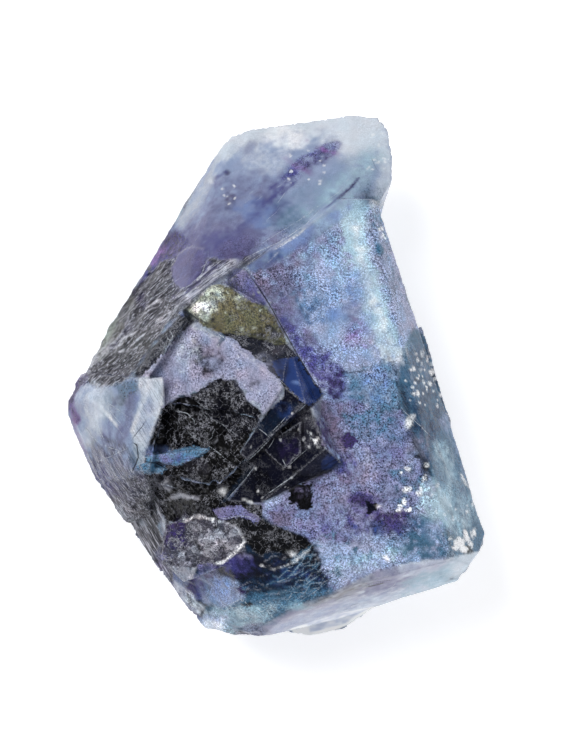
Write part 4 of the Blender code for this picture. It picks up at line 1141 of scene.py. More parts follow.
def ice_slope(s):
    """The clear upper block: pale ice with violet clouds and two thin veins."""
    s.fill("mist", [(146, 268), (166, 236), (186, 210), (206, 172), (216, 146), (232, 133), (262, 124),
            (300, 118), (340, 114), (366, 108), (384, 118), (396, 140), (396, 178), (384, 204), (372, 206),
            (340, 222), (306, 240), (278, 252), (262, 258), (240, 268), (214, 284), (190, 262)], soft=2.0,
           wobble=1.0, cloud=0.78, rough=0.15, salt=0.06, pepper=0.06, swell=0.6, hackle=0.0)
    s.stroke("ice", [(222, 150), (236, 138), (262, 130), (304, 124), (345, 118), (372, 116)], 20, soft=8,
             wobble=4, cloud=0.7)
    s.patch("frost", 288, 138, 36, 26, 0, amount=0.75, patchy=0.6, cloud=0.85)
    s.patch("ice", 352, 132, 74, 50, 0, cloud=0.8)
    s.stroke("ice", [(374, 124), (384, 148), (386, 176), (378, 198)], 14, amount=0.7, soft=5, wobble=3)
    s.stroke("teal", [(290, 214), (330, 190), (362, 168)], 30, amount=0.3, soft=12, wobble=6)
    s.stroke("cyan", [(330, 200), (356, 180), (372, 158)], 22, amount=0.5, soft=10, wobble=5)
    s.patches(("teal", 284, 220, 50, 26, -30, 0.55, 0.8), ("ice", 262, 158, 56, 26, -20, 0.35, 1.0))
    s.fill("violet", [(212, 246), (232, 232), (252, 236), (256, 250), (240, 264), (216, 276)], amount=0.5,
           soft=5, wobble=4)
    s.fill("lilac", [(176, 250), (196, 214), (226, 180), (262, 172), (280, 196), (262, 226), (246, 262),
            (214, 280), (190, 262)], amount=0.6, soft=12, wobble=7)
    s.fill("violet", [(214, 262), (232, 238), (262, 214), (282, 198), (292, 204), (272, 226), (254, 250),
            (232, 266)], amount=0.6, soft=7, wobble=6)
    s.fill("lilac", [(164, 244), (186, 222), (222, 218), (262, 226), (264, 254), (240, 268), (214, 284),
            (190, 262), (166, 268)], amount=0.75, soft=10, wobble=5)
    s.fill("violet", [(176, 264), (196, 236), (236, 232), (256, 246), (238, 266), (214, 284), (192, 290)],
           amount=0.65, soft=9, wobble=5)
    s.patch("sky", 252, 212, 30, 22, -30, amount=0.5, patchy=1.0)
    s.stroke("violet", [(240, 228), (256, 214), (270, 202), (284, 186), (294, 176)], 8, amount=0.5, soft=5,
             wobble=6)
    s.stroke("violet", [(258, 204), (272, 194), (284, 178), (300, 168), (318, 160), (336, 146)], 15,
             amount=0.35, soft=5, wobble=5, taper=0.3)
    s.fill("violet", [(284, 178), (290, 168), (304, 160), (316, 152), (330, 145), (340, 144), (336, 153),
            (322, 163), (306, 169), (294, 178)], amount=0.5, soft=2, wobble=6, cloud=0.88, salt=0.6,
           pepper=0.6)
    s.fill("plum", [(302, 164), (314, 156), (326, 151), (324, 158), (312, 167), (304, 171)], amount=0.2,
           wobble=6, salt=0.6, pepper=0.8)
    s.patches(("magenta", 326, 151, 26, 9, -25, 0.6, 1.2), ("magenta", 300, 169, 26, 8, -30, 0.6, 1.2))
    for path in ([(262, 206), (276, 196), (286, 184)], [(280, 196), (292, 186), (304, 176)],
                 [(268, 192), (280, 182), (290, 172)]):
        s.stroke("violet", path, 2.0, amount=0.7, soft=1.2, wobble=1.5, taper=0.7)
    s.scatter("frost", [(288, 150), (336, 186)], 18, 2.2, seed=31, amount=0.7, frost=0.6)
    s.stroke("violet", [(322, 212), (338, 200), (352, 187), (361, 177)], 3.0, amount=0.8, soft=1.2,
             wobble=1.5, taper=0.6)
    s.stroke("plum", [(336, 202), (350, 189), (360, 178)], 1.8, amount=0.8, soft=1.0, wobble=1.0, taper=0.6)
    s.patches(("violet", 336, 201, 12, 6, -40, 0.5, 1.0), ("plum", 227, 173, 7, 6, 0, 0.75, 1.0),
              ("violet", 210, 182, 16, 12, -50, 0.6, 1.0), ("ice", 211, 182, 7, 5, -50, 0.8, 0.5))
    s.stroke("violet", [(216, 178), (226, 172)], 3, amount=0.7, soft=1.5, wobble=1.5)
    s.patches(("violet", 250, 148, 8, 14, -30, 0.35, 1.0), ("plum", 230, 200, 9, 14, -10, 0.45, 1.2))
    s.scatter("frost", [(222, 184), (236, 206)], 9, 2.2, seed=32, amount=0.7, frost=0.6)
    s.stroke("ice", [(182, 224), (196, 204), (206, 186), (216, 158)], 9, amount=0.55, soft=4, wobble=3,
             cloud=0.5)
    s.fill("violet", [(140, 286), (146, 268), (156, 250), (166, 238), (176, 232), (186, 238), (182, 254),
            (172, 268), (160, 280), (148, 290)], soft=2.0, wobble=4, cloud=0.95, salt=0.5, pepper=1.0)
    s.fill("plum", [(148, 278), (158, 258), (168, 242), (178, 238), (180, 250), (170, 264), (156, 280)],
           amount=0.6, soft=2.5, wobble=4)
    s.fill("violet", [(146, 272), (158, 252), (168, 238), (178, 236), (178, 252), (168, 264), (154, 280)],
           amount=0.4, soft=3, wobble=3)
    s.patch("plum", 174, 250, 30, 44, 25, patchy=0.8, salt=0.5, cloud=0.92)
    s.fill("plum", [(158, 258), (167, 240), (180, 235), (188, 241), (184, 256), (170, 264)], amount=0.6,
           soft=2, wobble=4)
    s.patch("plum", 172, 250, 14, 22, 30, amount=0.9, patchy=0.7, cloud=0.97)
    s.patches(("magenta", 160, 248, 10, 14, 30, 0.5, 1.0), ("magenta", 152, 262, 12, 12, 0, 0.6, 1.2),
              ("plum", 148, 278, 12, 14, 0, 0.5, 1.4))
    s.fill("olive", [(144, 266), (149, 263), (152, 268), (148, 272)], amount=0.7, wobble=1)
    s.line("bright_line", [(209, 246), (209, 262), (203, 275), (192, 287), (182, 291), (175, 286)], 1.6,
           broken=0.4)
    # scratches along the crest, drawn as bright lines that are partly painted highlight
    s.line("bright_line", [(243, 261), (256, 254), (279, 244), (292, 236), (306, 226), (318, 213),
            (332, 200)], 1.8, broken=0.5)
    s.line("bright_line_b", [(274, 252), (284, 246), (296, 238), (308, 228)], 2.4, broken=0.2)
    s.stroke("frost", [(274, 251), (284, 245), (296, 238), (308, 228)], 1.4, amount=0.6, soft=1, wobble=1,
             taper=0.6, frost=0.5, lift=0.06)
    for path in ([(254, 250), (276, 236), (300, 221), (318, 206)], [(296, 226), (318, 208), (338, 194),
                                                                    (350, 180)],
                 [(276, 248), (282, 243), (284, 236), (290, 234)]):
        s.line("bright_line_b", path, 1.2, broken=0.5)
    draw = np.random.default_rng(35)
    for _ in range(26):
        u, v, length = draw.uniform(226, 372), draw.uniform(150, 236), draw.uniform(4, 12)
        if 0.6 * u + v < 400:
            s.line("bright_line_b", [(u, v), (u + 0.5 * length, v - 0.3 * length),
                    (u + length, v - 0.8 * length)], 0.9, broken=0.5)
    s.line("bright_line_b", [(266, 222), (276, 214), (282, 206)], 1.4, broken=0.7)
    s.line("bright_line_b", [(276, 206), (282, 198), (286, 192)], 1.2, broken=0.7)
    s.scatter("frost", [(368, 112), (392, 172)], 26, 2.4, seed=33, amount=0.6, frost=0.6)
    s.line("bright_line_b", [(378, 112), (386, 128), (389, 144), (390, 158)], 1.6, broken=0.3)
    s.line("bright_line_b", [(372, 134), (380, 126), (386, 122)], 1.2, broken=0.5)
    s.line("dark_line", [(371, 158), (374, 166), (377, 172)], 1.4, broken=0.4)
    s.patch("frost", 374, 206, 10, 8, 0, amount=0.6, frost=0.5)
    # the smooth blue band under the crest, and the grey streaks at its end
    s.fill("sky", [(254, 277), (246, 268), (262, 257), (278, 249), (306, 231), (334, 212), (352, 206),
            (354, 214), (334, 226), (306, 246)], amount=0.65, soft=1.0, wobble=0.4, salt=0.2, pepper=0.1,
           upper_fibre=0.0, cloud=0.9)
    s.fill("lilac", [(216, 262), (226, 244), (248, 236), (262, 240), (286, 226), (290, 240), (262, 256),
            (240, 268), (222, 274)], amount=0.6, soft=5, wobble=4, cloud=0.85, salt=0.5, pepper=0.6)
    s.fill("plum", [(214, 266), (226, 248), (248, 240), (264, 240), (258, 254), (238, 268), (220, 276)],
           amount=0.35, soft=5, wobble=4)
    s.fill("azure", [(254, 277), (246, 268), (262, 257), (280, 249), (284, 262), (268, 271)], amount=0.55,
           soft=4, wobble=2)
    s.patches(("lilac", 264, 266, 26, 16, -30, 0.35, 0.8), ("cyan", 326, 226, 44, 14, -32, 0.4, 0.6))
    s.fill("smoke", [(232, 268), (246, 258), (262, 252), (268, 254), (250, 266), (240, 272)], amount=0.6,
           soft=2, upper_fibre=0.5)
    s.patch("smoke", 372, 214, 16, 26, 20, amount=0.45, patchy=1.0)


def plateau_top(s):
    """The pale square top of the raised cube, mottled and broken along its lower edge."""
    outline = [(191, 325), (198, 331), (203, 330), (210, 336), (221, 340), (216, 348), (221, 347),
               (227, 337),
               (237, 341), (243, 349), (250, 351), (256, 360), (263, 362), (270, 372), (280, 380),
               (283, 387),
               (277, 399), (264, 413), (261, 408), (262, 404), (254, 400), (251, 402), (246, 398),
               (248, 391),
               (240, 388), (238, 380), (232, 379), (228, 381), (222, 378), (214, 382), (210, 380),
               (206, 388),
               (198, 392), (194, 391), (190, 396), (183, 394), (177, 398), (170, 402), (164, 408),
               (166, 390),
               (162, 377), (143, 377), (158, 361), (180, 337)]
    s.plate("lavender", outline, cloud=0.95, rough=0.22, salt=0.35, pepper=0.5, lift=0.15, steps=0.0,
            swell=0.05, hackle=0.0, web=0.0)
    s.patch("umber", 172, 384, 26, 20, 0, amount=0.3, patchy=1.2)
    s.patch("umber", 214, 360, 24, 32, 20, amount=0.45, patchy=1.2, pepper=1.0)
    s.scatter("soot", [(196, 342), (224, 378)], 30, 3.0, seed=61, amount=0.5)
    s.scatter("frost", [(172, 340), (262, 396)], 40, 1.8, seed=62, amount=0.4)
    s.patch("soot", 212, 362, 22, 32, 20, amount=0.55, patchy=1.5, pepper=1.0, coarse=0.8)
    s.patch("ice", 186, 352, 26, 30, 0, amount=0.2, patchy=1.2, pepper=0.8)
    s.patch("lavender", 256, 378, 36, 28, 30, amount=0.5, pepper=0.05, salt=0.05)
    s.patch("soot", 254, 384, 11, 5, 20, amount=0.55, patchy=1.6)
    s.line("bright_line", [(245, 349), (256, 359), (268, 368), (281, 381), (292, 391)], 1.4, broken=0.3)


def black_steps(s):
    """Etched square pits and treads, black with a net of crests painted bright as glints."""
    s.fill("soot", [(164, 406), (180, 396), (198, 392), (208, 382), (222, 376), (236, 380), (248, 400),
            (262, 412), (256, 427), (240, 450), (254, 466), (228, 498), (262, 504), (262, 514), (240, 516),
            (220, 519), (196, 516), (180, 518), (166, 524), (160, 500), (146, 476), (146, 452), (156, 426)],
           soft=1.0, wobble=1.0, cloud=1.0, rough=0.3, web=0.7, salt=0.12, pepper=0.2, steps=1.0, swell=0.1,
           hackle=0.0)
    s.fill("navy", [(204, 388), (222, 378), (236, 382), (248, 402), (262, 414), (256, 426), (236, 440),
            (214, 420), (200, 404)], amount=0.6, soft=3, wobble=3, web=0.5)
    s.patch("soot", 228, 398, 40, 30, 20, amount=0.5, patchy=1.0)
    s.fill("soot", [(174, 399), (186, 396), (200, 402), (199, 414), (188, 410), (176, 407)], soft=1.0,
           wobble=1.0, web=0.0, salt=0.0, lift=-0.15)
    s.fill("soot", [(205, 436), (210, 431), (231, 446), (227, 453), (216, 446)], soft=1.0, wobble=0.8,
           web=0.0, salt=0.0, lift=-0.1)
    s.fill("soot", [(150, 440), (160, 437), (168, 446), (164, 453), (151, 452)], soft=1.0, wobble=1.0,
           web=0.1, salt=0.1, lift=-0.1)
    s.fill("soot", [(166, 500), (196, 500), (214, 506), (212, 514), (196, 514), (178, 516), (166, 518)],
           web=0.15, salt=0.2)
    s.fill("soot", [(166, 476), (200, 464), (236, 470), (226, 494), (200, 498), (172, 494)], soft=3,
           wobble=4, web=0.35, salt=0.1)
    s.patch("smoke", 188, 462, 30, 12, -20, amount=0.3, patchy=1.4)
    # silver spots and the silver streak in the pit are painted glints
    s.patch("silver", 160, 480, 12, 7, 20, amount=0.7, patchy=1.4, frost=0.35)
    s.patch("silver", 165, 486, 10, 7, 0, amount=0.6, patchy=1.4)
    s.patch("frost", 222, 490, 7, 9, 20, amount=0.7, patchy=1.4, frost=0.5)
    s.stroke("silver", [(168, 500), (176, 496), (188, 498), (198, 497)], 4, amount=0.7, soft=1.5, wobble=2,
             taper=0.4)
    s.lines_of("bright_line",
               ([(175, 410.5), (180, 411), (187, 413), (194, 420), (195, 427)], 2.0, 0.0),
               ([(194, 400), (203, 406), (213, 413.5)], 1.5, 0.0),
               ([(204, 441), (214, 449), (229, 460)], 1.8, 0.0),
               ([(186, 429), (192, 436), (200, 440)], 1.4, 0.5),
               ([(208, 416), (222, 424), (238, 436)], 1.3, 0.5))
    s.line("bright_line_b", [(200, 404), (204, 414), (212, 422)], 1.2, broken=0.5)
    s.line("bright_line_b", [(216, 426), (212, 436), (206, 440)], 1.2, broken=0.5)
    # the blue blades that lie across the pit
    s.plate("teal", [(147, 456), (160, 452), (171, 450), (194, 445), (209, 447), (205, 453), (190, 461),
             (178, 466), (160, 462), (148, 461)], cloud=0.92, web=0.15, steps=0.0, salt=0.9, pepper=0.6,
            lower_fibre=0.0)
    s.patches(("sky", 166, 455, 34, 12, -8, 0.5, 1.0), ("lilac", 170, 457, 32, 9, -8, 0.55, 1.0),
              ("azure", 180, 460, 14, 6, -10, 0.4, 1.0))
    s.plate("teal", [(138, 465), (150, 461), (157, 462), (168, 468), (160, 474), (144, 473)], cloud=0.92,
            web=0.1, steps=0.0, salt=0.8, pepper=0.6)
    s.patch("teal", 152, 468, 20, 9, 10, amount=0.4, patchy=1.0)
    s.line("dark_line", [(146, 461), (156, 462), (164, 466), (170, 469)], 2.0)


def navy_steps(s):
    """The near-black blue treads and the strip along the cube's front edge."""
    s.fill("navy", [(281, 398), (290, 396), (302, 400), (309, 406), (322, 430), (320, 443), (344, 462),
            (330, 471), (303, 481), (262, 501), (250, 503), (228, 500), (254, 466), (240, 452), (256, 427),
            (266, 412)], soft=0.8, wobble=0.5, cloud=1.0, rough=0.12, web=0.06, salt=0.2, pepper=0.0,
           steps=0.0, swell=0.05, hackle=0.0)
    s.fill("sea", [(283, 400), (292, 398), (302, 401), (271, 437), (256, 426), (268, 412)], amount=0.35,
           soft=1.0, wobble=0.8, salt=0.2)
    s.patch("azure", 284, 410, 26, 14, -42, amount=0.45, patchy=0.8)
    s.fill("sea", [(238, 462), (246, 460), (254, 466), (230, 498), (220, 502), (232, 484), (244, 470)],
           amount=0.6, soft=1.0, wobble=1.0, web=0.25)
    s.patch("soot", 262, 478, 46, 26, -35, amount=0.5, patchy=0.8, web=0.15)
    s.patch("soot", 290, 428, 30, 20, 0, amount=0.6, patchy=0.8)
    s.fill("smoke", [(290, 406), (306, 404), (316, 424), (314, 436), (300, 428), (292, 416)], amount=0.25,
           soft=2, wobble=3, web=0.5, salt=0.8)
    s.fill("sea", [(318, 444), (330, 452), (343, 463), (328, 471), (303, 480), (262, 500), (254, 502),
            (276, 482), (300, 462)], amount=0.02, soft=0.8, wobble=0.5, salt=0.05)
    s.patches(("azure", 332, 460, 18, 16, 20, 0.45, 0.8), ("soot", 300, 472, 40, 14, -30, 0.7, 0.8))
    s.fill("plum", [(276, 440), (296, 436), (302, 450), (287, 464), (280, 456)], amount=0.2, wobble=1)
    s.patch("smoke", 308, 440, 26, 12, -28, amount=0.5, patchy=1.4, web=1.0, salt=1.0)
    s.scatter("frost", [(298, 436), (318, 446)], 16, 2.2, seed=43, amount=0.8, frost=0.7)
    s.scatter("frost", [(258, 410), (320, 440)], 26, 1.4, seed=41, amount=0.7, frost=0.5)
    s.scatter("frost", [(250, 440), (300, 498)], 22, 1.4, seed=42, amount=0.6, frost=0.5)
    s.line("bright_line", [(287, 415), (280, 423), (271, 432)], 1.6)
    s.line("bright_line_b", [(258, 427), (265, 432), (271, 437.5)], 1.8)
    s.line("bright_line_b", [(271, 437.5), (260, 449), (247, 461)], 2.2)
    s.line("bright_line", [(256, 463), (248, 474), (238, 485), (224, 501)], 2.6)
    s.line("bright_line_b", [(282, 457), (284, 461), (287, 466)], 1.8)
    s.line("bright_line_b", [(287, 466), (296, 457), (308, 447)], 1.6)
    s.line("bright_line", [(275, 436), (272, 442), (268, 448)], 1.4, broken=0.3)
    s.line("bright_line_b", [(258, 499), (272, 489), (288, 478), (300, 470)], 2.2, broken=0.8)
    s.line("bright_line_b", [(240, 466), (247, 461), (254, 466)], 1.8)
    s.stroke("frost", [(243, 497), (250, 500), (258, 506)], 2, amount=0.6, soft=1, wobble=1.5, taper=0.6,
             frost=0.6)
    s.line("bright_line_b", [(306, 430), (312, 438), (322, 450)], 1.3, broken=0.4)
    s.fill("umber", [(312, 396), (324, 396), (336, 420), (346, 456), (336, 454), (321, 432)], amount=0.7,
           soft=3, wobble=4, salt=0.8, pepper=0.9)
    s.fill("plum", [(310, 400), (318, 400), (326, 424), (338, 452), (326, 446), (318, 430)], amount=0.6,
           soft=2, wobble=4, salt=0.8, pepper=0.9)
    # the blue mirror facet and the dark strip above it
    s.fill("navy", [(222, 333), (244, 333), (284, 342), (298, 356), (312, 379), (324, 394), (310, 408),
            (296, 402), (282, 402), (284, 388), (262, 366), (240, 350)], soft=0.8, wobble=0.3, cloud=1.0,
           rough=0.15, salt=0.3, pepper=0.0, web=0.1, steps=0.0, swell=0.05, hackle=0.0)
    s.plate("azure", [(271, 361), (284, 357), (297, 358), (310, 378), (322, 394), (319, 398), (308, 406),
             (296, 396), (280, 379)], cloud=1.0, rough=0.1, salt=0.15, pepper=0.1, web=0.0, steps=0.0,
            swell=0.05, hackle=0.0)
    s.fill("navy", [(271, 361), (284, 357), (290, 372), (282, 379)], amount=0.6, soft=3, wobble=2)
    s.patches(("navy", 312, 394, 14, 10, 30, 0.4, 0.8), ("sky", 296, 382, 8, 5, 0, 0.5, 1.4))
    s.fill("navy", [(230, 333), (244, 336), (258, 338), (284, 344), (296, 357), (284, 359), (271, 361),
            (264, 363), (254, 357), (245, 348), (229, 338)], soft=1.0, wobble=1.0, cloud=0.95, web=0.45,
           salt=0.5, steps=0.0, hackle=0.0, swell=0.1)
    s.patch("smoke", 276, 350, 24, 8, 20, amount=0.5, patchy=1.4, web=0.9)
    s.fill("navy", [(184, 313), (190, 313), (196, 322), (190, 328), (174, 342), (156, 368), (141, 378),
            (134, 376), (151, 350), (167, 330)], soft=1.2, wobble=1.2, cloud=0.92, web=0.35, salt=0.3,
           coarse=0.5, upper_fibre=0.2, steps=0.0, hackle=0.0)
    s.patch("soot", 186, 320, 14, 10, 0, amount=0.7, patchy=1.0)
    # painted glint: azure and sky spots on the dark wall
    s.patch("azure", 186, 314, 8, 6, 0, amount=0.95, cloud=0.8)
    s.patch("sky", 183, 313, 5, 3, 0, amount=0.5)
    s.line("bright_line_b", [(169, 331), (172, 332), (174, 337), (172, 341), (169, 339), (168, 334)], 1.6)


def olive_crest(s):
    """The olive ledge with its pale green upper end, and the dark violet facets behind it."""
    s.fill("lilac", [(222, 284), (229, 277), (238, 270), (246, 270), (256, 284), (267, 301), (276, 318),
            (266, 309), (250, 302), (234, 290)], soft=1.0, wobble=0.8, cloud=0.9, rough=0.2, salt=0.4,
           pepper=0.6, steps=0.0, hackle=0.0, upper_fibre=0.0, swell=0.1)
    s.fill("navy", [(222, 284), (229, 277), (234, 272), (240, 288), (234, 291)], amount=0.6, soft=2,
           wobble=2)
    s.fill("violet", [(246, 276), (258, 288), (270, 306), (266, 309), (250, 296)], amount=0.4, soft=2,
           wobble=2)
    s.fill("navy", [(240, 286), (252, 296), (266, 308), (262, 309), (246, 300), (236, 291)], amount=0.35,
           soft=2, wobble=2)
    s.fill("olive", [(187, 311), (200, 298), (212, 286), (220, 284), (229, 288), (250, 302), (267, 308),
            (276, 319), (285, 336), (288, 345), (276, 345), (258, 339), (244, 337), (232, 334), (217, 332),
            (203, 327), (197, 319)], soft=1.0, wobble=1.2, cloud=0.93, rough=0.35, salt=1.0, pepper=1.0,
           coarse=0.5, web=0.3, steps=0.0, hackle=0.0, upper_fibre=0.0, swell=0.6)
    s.fill("celadon", [(187, 311), (200, 298), (212, 286), (222, 285), (224, 298), (216, 312), (204, 322),
            (196, 320)], amount=0.8, soft=3, wobble=3, salt=1.0)
    s.scatter("soot", [(208, 300), (280, 336)], 40, 4.0, seed=51, amount=0.6)
    s.scatter("celadon", [(200, 292), (270, 330)], 40, 3.0, seed=52, amount=0.8)
    s.patch("frost", 202, 306, 16, 18, -40, amount=0.45, patchy=1.4, frost=0.4)
    s.patches(("celadon", 240, 302, 26, 12, 25, 0.4, 1.4), ("teal", 217, 302, 8, 12, 0, 0.6, 1.2),
              ("olive", 246, 318, 22, 18, 0, 0.6, 1.0))
    s.fill("soot", [(244, 334), (262, 326), (284, 330), (290, 344), (270, 344), (254, 340)], amount=0.55,
           soft=3, wobble=4, web=0.6)
    s.patch("smoke", 276, 336, 20, 12, 30, amount=0.4, patchy=1.4)


AREAS = (all_over, ice_slope, right_side, pale_face, corner_flow, bottom_edge, scooped_face, silky_slope,
         fibrous_slope, left_side,
         black_steps, navy_steps, plateau_top, olive_crest, whitish_lump)


# ---- relief ---------------------------------------------------------------------------

# size, height and seed of each layer, mm, from coarse to fine
SQUARES = ((2.3, 0.34, 72), (1.1, 0.20, 73), (0.55, 0.10, 74))
SCALLOPS = ((2.6, 0.22, 81), (1.1, 0.12, 82), (0.55, 0.06, 83))
FACETS = ((5.2, 0.5, 91), (2.1, 0.24, 94))
# low curved steps of a broken side: the way they climb, mm from one to the next, and their height
STEP_CLIMB = (0.35, -0.2, 0.9)
STEP_SPACING = 3.4
STEP_HEIGHT = 0.16
# the net's cells, mm, and the height of the finest grain
NET_CELL = 0.75
GRAIN_HEIGHT = 0.016
# how strongly colour drifts to warm and to light, and how sharply the surface turns at a crest or a hollow
WARM_DRIFT, LIGHT_DRIFT = (0.18, 0.0, -0.06), 0.22
CREST_TURN = (0.10, 0.30)
# roughest wear that is still shaded smooth
SMOOTH_LIMIT = 0.4

def fibre_relief(p, azimuth):
    q = turned(p, azimuth)
    broad = noise(q, (7.0, 0.9, 1.6), 61)
    fine = noise(q, (4.0, 0.42, 0.8), 62)
    return 0.22 * (1 - 2 * np.abs(broad)) + 0.10 * fine + 0.10 * fractal(p, 1.6, 2, 63)


def etched_relief(p):
    """Square terraces that follow the raised cube's own edges."""
    q = p - np.array(CUBE_CORNER)
    warp = 0.12 * fractal(p, 0.8, 2, 71)
    along = q @ np.array(CUBE_ALONG) + warp
    across = q @ np.array(CUBE_ACROSS) - warp
    total = np.zeros(len(p))
    for size, depth, seed in SQUARES:
        i = np.floor(along / size).astype(np.int64)
        j = np.floor(across / (0.8 * size)).astype(np.int64)
        total -= depth * scramble(i, j, 0 * i, seed)
    return total


def scallop_relief(p):
    """Curved steps round the point that the scooped face was struck from."""
    reach = np.hypot(p[:, 0] - SCOOP_CENTRE[0], p[:, 1] - SCOOP_CENTRE[1])
    total = np.zeros(len(p))
    for width, height, seed in SCALLOPS:
        wave = (reach + 0.9 * width * fractal(p, 2.2 * width, 2, seed)) / width
        tooth = wave - np.floor(wave)
        total += height * (ramp(tooth, 0.0, 0.75) - ramp(tooth, 0.75, 1.0) - 0.4)
    return total


def broken_relief(p):
    """Small tilted facets and a few low curved steps of a broken side."""
    total = np.zeros(len(p))
    for size, height, seed in FACETS:
        offset, border, value = cells(p + 0.25 * size * fractal(p, size, 2, seed)[:, None], size, seed + 1)
        tilt = np.stack((np.sin(40 * value), np.cos(57 * value), np.sin(23 * value + 1)), axis=1)
        total += height * np.einsum("ij,ij->i", offset, tilt) * ramp(border, 0.0, 0.12)
        total -= height * (0.25 + 0.3 * value)
    step = (p @ np.array(STEP_CLIMB) + 1.6 * fractal(p, 5.0, 2, 97)) / STEP_SPACING
    tooth = step - np.floor(step)
    return total + STEP_HEIGHT * ramp(tooth, 0.0, 0.92) - STEP_HEIGHT * ramp(tooth, 0.92, 1.0)


def net_relief(p):
    _, border, value = cells(p, NET_CELL, 95)
    return 0.07 * ramp(border, 0.28, 0.0) + 0.09 * (value - 0.5)


def relief(s):
    p, m = s.points, s.marks
    total = m["swell"] * (0.26 * fractal(p, 5.0, 2, 51) + 0.07 * fractal(p, 1.3, 2, 52))
    total += m["lower_fibre"] * fibre_relief(p, LOWER_GRAIN)
    total += m["upper_fibre"] * fibre_relief(p, UPPER_GRAIN)
    total += m["steps"] * etched_relief(p)
    total += m["ripple"] * scallop_relief(p)
    total += m["hackle"] * broken_relief(p)
    total += m["web"] * net_relief(p)
    total += (m["salt"] + m["pepper"]) * GRAIN_HEIGHT * noise(p, 0.5, 53)
    total += s.lift
    return total * ramp(p[:, 2], LUMP_CENTRE.z + 0.05, LUMP_CENTRE.z + 1.2)


def mottle(s):
    """Small drifts of warmer and cooler colour, and of more and fewer grains."""
    warm, light = fractal(s.points, 1.3, 2, seed=41), fractal(s.points, 0.9, 2, seed=42)
    amount = np.clip(0.15 + s.marks["salt"] + s.marks["pepper"], 0, 1)[:, None]
    for layer in (s.tint, s.inset):
        layer *= 1 + amount * (warm[:, None] * np.array(WARM_DRIFT) + LIGHT_DRIFT * light[:, None])
        np.clip(layer, 0.0, 0.97, out=layer)
    gather = np.clip(1 + 0.9 * fractal(s.points, 2.2, 2, seed=43), 0.3, 1.5)
    for name in ("salt", "pepper"):
        s.marks[name] = np.clip(s.marks[name] * gather, 0, 1)


def worn_lump(shape, tones):
    """The finished mesh: shaped, coloured, thinned where it is hidden and set on the ground."""
    lump = celled_lump(shape)
    mesh = lump.data
    points, normals = vertex_points(mesh), vertex_normals(mesh)
    surface = Surface(points, normals, tones)
    for area in AREAS:
        area(surface)
    mottle(surface)
    moved = points + (shape.wear * relief(surface))[:, None] * normals
    moved[:, 2] = np.maximum(moved[:, 2], LUMP_CENTRE.z)
    mesh.vertices.foreach_set("co", moved.astype(np.float32).ravel())
    mesh.update()
    # crest marks convex edges for chipped wear and a painted highlight; hollow marks hollows for painted
    # shade
    surface.marks["crest"], surface.marks["hollow"] = edge_wear_glint_and_shade(mesh)
    store(mesh, surface)
    thin_hidden_side(lump, shape.triangles)
    lump.data.transform(Matrix.Scale(MM, 4) @ Matrix.Translation(-LUMP_CENTRE))
    return lump


def edge_wear_glint_and_shade(mesh):
    """How sharply the surface turns at each point: crests, which the material paints silver as chipped wear
    and painted highlight, and hollows, which it darkens as painted shade.
    """
    points, normals = vertex_points(mesh), vertex_normals(mesh)
    pairs = np.empty(len(mesh.edges) * 2, np.int32)
    mesh.edges.foreach_get("vertices", pairs)
    a, b = pairs.reshape(-1, 2).T
    total, count, length = np.zeros((len(points), 3)), np.zeros(len(points)), np.zeros(len(points))
    reach = np.linalg.norm(points[a] - points[b], axis=1)
    for start, end in ((a, b), (b, a)):
        np.add.at(total, start, points[end])
        np.add.at(count, start, 1)
        np.add.at(length, start, reach)
    offset = points - total / count[:, None]
    turn = np.einsum("ij,ij->i", offset, normals) / (length / count)
    return ramp(turn, *CREST_TURN), ramp(-turn, *CREST_TURN)


def store(mesh, surface):
    """Write the strokes into the mesh for the material to read."""
    n = len(mesh.vertices)
    for name, layer in (("tint", surface.tint), ("inset", surface.inset)):
        slot = mesh.attributes.new(name, "FLOAT_COLOR", "POINT")
        colour = np.ones((n, 4), np.float32)
        colour[:, :3] = layer
        slot.data.foreach_set("color", colour.ravel())
    values = {name: surface.marks[name] for name in MARKS + ("crest", "hollow")}
    values["inset_side"] = surface.inset_side
    for name, (distance, half) in surface.lines.items():
        values[f"{name}_side"], values[f"{name}_half"] = distance, half
    for name, value in values.items():
        slot = mesh.attributes.new(name, "FLOAT", "POINT")
        slot.data.foreach_set("value", value.astype(np.float32))
    sharp = surface.marks["web"] + surface.marks["hackle"] + 0.6 * surface.marks["steps"]
    sharp += 0.5 * (surface.marks["lower_fibre"] + surface.marks["upper_fibre"])
    corners = np.empty(len(mesh.loops), np.int32)
    mesh.loops.foreach_get("vertex_index", corners)
    starts = np.empty(len(mesh.polygons), np.int32)
    mesh.polygons.foreach_get("loop_start", starts)
    mesh.polygons.foreach_set("use_smooth", sharp[corners[starts]] < SMOOTH_LIMIT)
    mesh.update()


# ---- shader groups ----------------------------------------------------------------------

